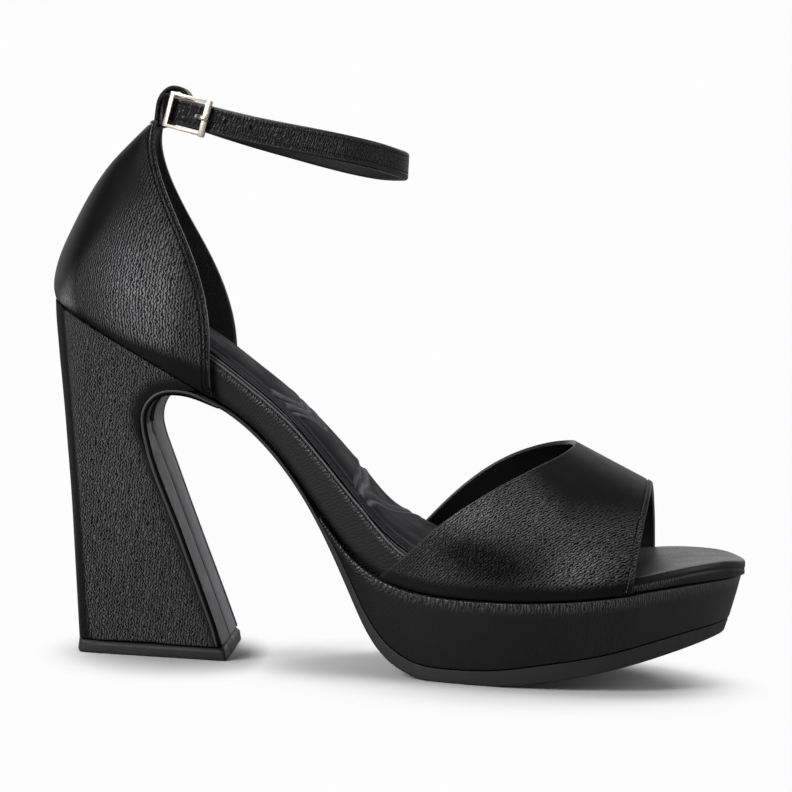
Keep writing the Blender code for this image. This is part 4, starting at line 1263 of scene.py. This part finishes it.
def puff(piece, held):
    """Air pressure in a cloth simulation; the held vertices stay where they are."""
    start = points_of(piece)
    group = piece.vertex_groups.new(name="sewn")
    group.add([int(v) for v in np.flatnonzero(held)], 1.0, "REPLACE")
    cloth = piece.modifiers.new("cloth", "CLOTH")
    cloth.settings.quality = 4
    cloth.settings.mass = 0.15
    cloth.settings.vertex_group_mass = "sewn"
    cloth.settings.use_pressure = True
    cloth.settings.uniform_pressure_force = PUFF_PRESSURE
    cloth.settings.effector_weights.gravity = 0.0
    cloth.point_cache.frame_start = 1
    cloth.point_cache.frame_end = PUFF_FRAMES
    for step in range(1, PUFF_FRAMES + 1):
        bpy.context.scene.frame_set(step)
    lone(piece)
    bpy.ops.object.modifier_apply(modifier=cloth.name)
    bpy.context.scene.frame_set(1)
    moved = points_of(piece) - start
    length = np.linalg.norm(moved, axis=1)
    print("puffed up by mm:", round(float(length.max() / MM), 2))
    share = np.minimum(1.0, PUFF_LIMIT * MM / np.maximum(length, 1e-9))
    put_points(piece, start + moved * share[:, None])


pad = wrap("insole_pad", "insole_padding", insole_skin, 2, strength=0.3)
near_seam, inside, upper_side = seam_distance(pad)
puff(pad, (near_seam < 1.0) | (inside < 0) | ~upper_side)
smooth(pad, 1)
near_seam, inside, upper_side = seam_distance(pad)
press(pad, upper_side * (0.16 * hump(near_seam - 1.5, 0.9) - 0.75 * hump(near_seam, 1.3)))
at_border = np.abs(inside) < near_seam + 0.01
# A painted highlight beside each seam, brighter outside the border seam, and a lighter tone painted
# on the pad's side wall.
light = np.where(at_border, np.where(inside > 0, 0.3, 1.7), 1.0)
light *= hump((near_seam - 1.1) / np.where(at_border, 0.6, 1.0), 1.0)
painted_wall_light = 0.45 * (inside < 0) * ~upper_side
note(pad, "lit_line", upper_side * light + painted_wall_light)
finish_piece(pad, "insole_pad", "insole_leather")

# %% [markdown]
# ## The ankle strap
#
# The strap is a narrow band of the same leather, folded over a tape and edge-stitched all round.
# Its holes are punched for the prong. The skin round each hole is divided finer first, so that a
# small pit with a soft rim can be pressed in. A highlight is painted along its whole rim. Past the
# buckle the strap's last few millimetres lie in deep shadow, so shade is painted on them in the
# darkest finish.

# %% Shape the strap
STRAP_HOLES = ((-64.9, -27.4, 169.5), (-56.9, -25.7, 168.4), (-48.9, -26.9, 167.0))
HOLE_RADIUS = 0.75
STRAP_END = -75.2                        # x in mm behind which the strap lies in shadow


def punch(piece, spots, radius):
    """Punched holes: a soft rim and a dark pit."""
    for spot in spots:
        middle = Vector(spot) * MM
        pick(piece, "FACE", lambda face: face.material_index == SKIN
             and (face.center - middle).length < 2.4 * MM)
        bpy.ops.mesh.subdivide(number_cuts=3)
        leave()
    places = places_of(piece)
    depth = np.zeros(len(places))
    for spot in spots:
        away = np.linalg.norm(places - np.array(spot), axis=1)
        depth += 0.12 * hump(away - radius * 1.5, radius * 0.8) - 0.9 * hump(away, radius * 1.15)
    press(piece, depth * (normals_of(piece)[:, 1] < -0.5))


strap = shell_of("ankle_strap", "buckled_strap", (strap_leather, painted_edge, strap_lining),
                 Vector((-0.045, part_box("ankle_strap")[0].y, 0.166)), (0, -1, 0), 2.0, 35,
                 sharp=40, strength=0.6)
strap_chains, away = note_rim(strap, "rim", points_of(strap))
# A highlight is painted along the strap's whole rim.
note(strap, "edge", away)
x, y, z = places_of(strap).T
note_wrap(strap, y, x.max() - x)
note(strap, "taut", step_up(x, -22.0, -12.0) * 0.7)
punch(strap, STRAP_HOLES, HOLE_RADIUS)
paint_wear_and_light(strap, 0.10, more=0.30 * step_up(places_of(strap)[:, 0], -22.0, -8.0))
# Painted shade: the strap's end behind the buckle is made black.
strap.data.materials.append(painted_shade_black)
paint(strap, 3, lambda face, x, y, z: x < STRAP_END)
finish_piece(strap, "ankle_strap", "upper_leather")
print("strap edges:", [len(chain) for chain in strap_chains])

# %% [markdown]
# ## The heel loop
#
# A short loop of leather at the top of the counter carries the strap. Its rear strand sinks behind
# the counter's rim, its front strand leans back into the strap, and its ends are squeezed together
# low down, as they are where the loop is sewn in.

# %% Shape the loop
LOOP_FOOT = -86.0                        # x in mm where the loop's ends come together

loop = wrap("strap_loop", "heel_loop", strap_leather, 2, strength=0.6)
x, y, z = places_of(loop).T
rear = 1 - step_up(x, -81.5, -78.5)
sink = rear * (1 - step_up(z, 170.0, 175.0))
lean = (1 - rear) * (1 - step_up(z, 162.5, 171.5))
x += 0.3 * sink - 8.6 * lean
z -= 3.2 * sink
x += 0.65 * (LOOP_FOOT - x) * (1 - step_up(z, 160.0, 168.0))
put_points(loop, np.array([x, y, z]).T * MM)
note(loop, "rim", FAR)
note(loop, "edge", FAR)
note(loop, "taut", 0.6)
paint_wear_and_light(loop, 0.12)
finish_piece(loop, "strap_loop", "upper_leather")

# %% [markdown]
# ## The buckle
#
# The buckle is a small cast frame with a wider bar on the toe side, over which the prong lies. A
# block is inset on its two faces, and the two inner squares are bridged, which makes the window.
# The heel-side bar slopes away, and its slope gets a darker, duller colour: a painted reflection
# of the dark leather that it mirrors instead of the lights. The wide bar is a second block, and
# bevels round all of the edges.
# The frame is modelled flat and then laid into the three directions of its solid.

# %% Shape the buckle
BAR = 1.05                               # width of the frame's top and bottom bars
WIDE_BAR = 2.0
FLANK = 0.60                             # the heel-side bar slopes away by this much
FLANK_INSIDE = 0.85


def buckle_axes():
    """The buckle's middle, its three directions and its size, measured on the solid."""
    places = np.array([v.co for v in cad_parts["buckle_frame"].data.vertices])
    centre = places.mean(axis=0)
    along, upward, outward = np.linalg.svd(places - centre, full_matrices=False)[2]
    axes = np.array([along * np.sign(along[0]), upward * np.sign(upward[2]),
                     outward * -np.sign(outward[1])])
    local = (places - centre) @ axes.T
    low, high = local.min(0), local.max(0)
    return centre + (low + high) / 2 @ axes, axes, (high - low) / MM


def add_block(size, middle):
    """A cube of this size at this place, both in mm."""
    bpy.ops.object.select_all(action="DESELECT")
    bpy.ops.mesh.primitive_cube_add(size=1.0)
    block = bpy.context.object
    block.scale = [v * MM for v in size]
    block.location = [v * MM for v in middle]
    bpy.ops.object.transform_apply(location=True, rotation=False, scale=True)
    return block


def make_buckle():
    """Modelled flat, x along the strap, y up and z outward, then put in place."""
    centre, axes, (length, height, depth) = buckle_axes()
    piece = add_block((length, height, depth * 0.9), (0, 0, 0))
    piece.name = "gold_buckle"
    pick(piece, "FACE", lambda face: abs(face.normal.z) > 0.9)
    bpy.ops.mesh.inset(thickness=BAR * MM)
    bpy.ops.mesh.bridge_edge_loops()
    leave()
    places = places_of(piece)
    inward = places[:, 0] + length / 2
    outer = places[:, 2] > 0
    places[(inward < 0.1) & outer, 0] += FLANK
    places[(np.abs(inward - BAR) < 0.1) & outer, 0] += FLANK_INSIDE
    put_points(piece, places * MM)
    bar = add_block((WIDE_BAR, height + 0.5, depth * 0.85), ((length - WIDE_BAR) / 2, 0, 0.25))
    for part, edge in ((piece, 0.22), (bar, 0.35)):
        enter(part, "EDGE")
        bpy.ops.mesh.edges_select_sharp(sharpness=math.radians(30))
        bpy.ops.mesh.bevel(offset=edge * MM, segments=3, affect="EDGES")
        leave()
    lone(piece)
    bar.select_set(True)
    bpy.ops.object.join()
    put_points(piece, points_of(piece) @ axes + centre)
    turn_outwards(piece)
    bpy.ops.object.shade_smooth_by_angle(angle=math.radians(35))
    piece.data.materials.append(gold)
    piece.data.materials.append(buckle_shaded_gold)
    # The heel-facing slopes take the painted reflection.
    paint(piece, 1, lambda face, *place: face.normal @ Vector(axes[0]) < -0.25)
    print("buckle mm:", round(length, 1), round(height, 1), round(depth, 1))
    return piece


buckle = make_buckle()
finish_piece(buckle, "buckle_frame", "buckle_metal")
prong = wrap("buckle_prong", "gold_prong", gold, 2, strength=0.3)
press(prong, np.full(len(prong.data.vertices), 0.25))
finish_piece(prong, "buckle_prong", "buckle_metal")
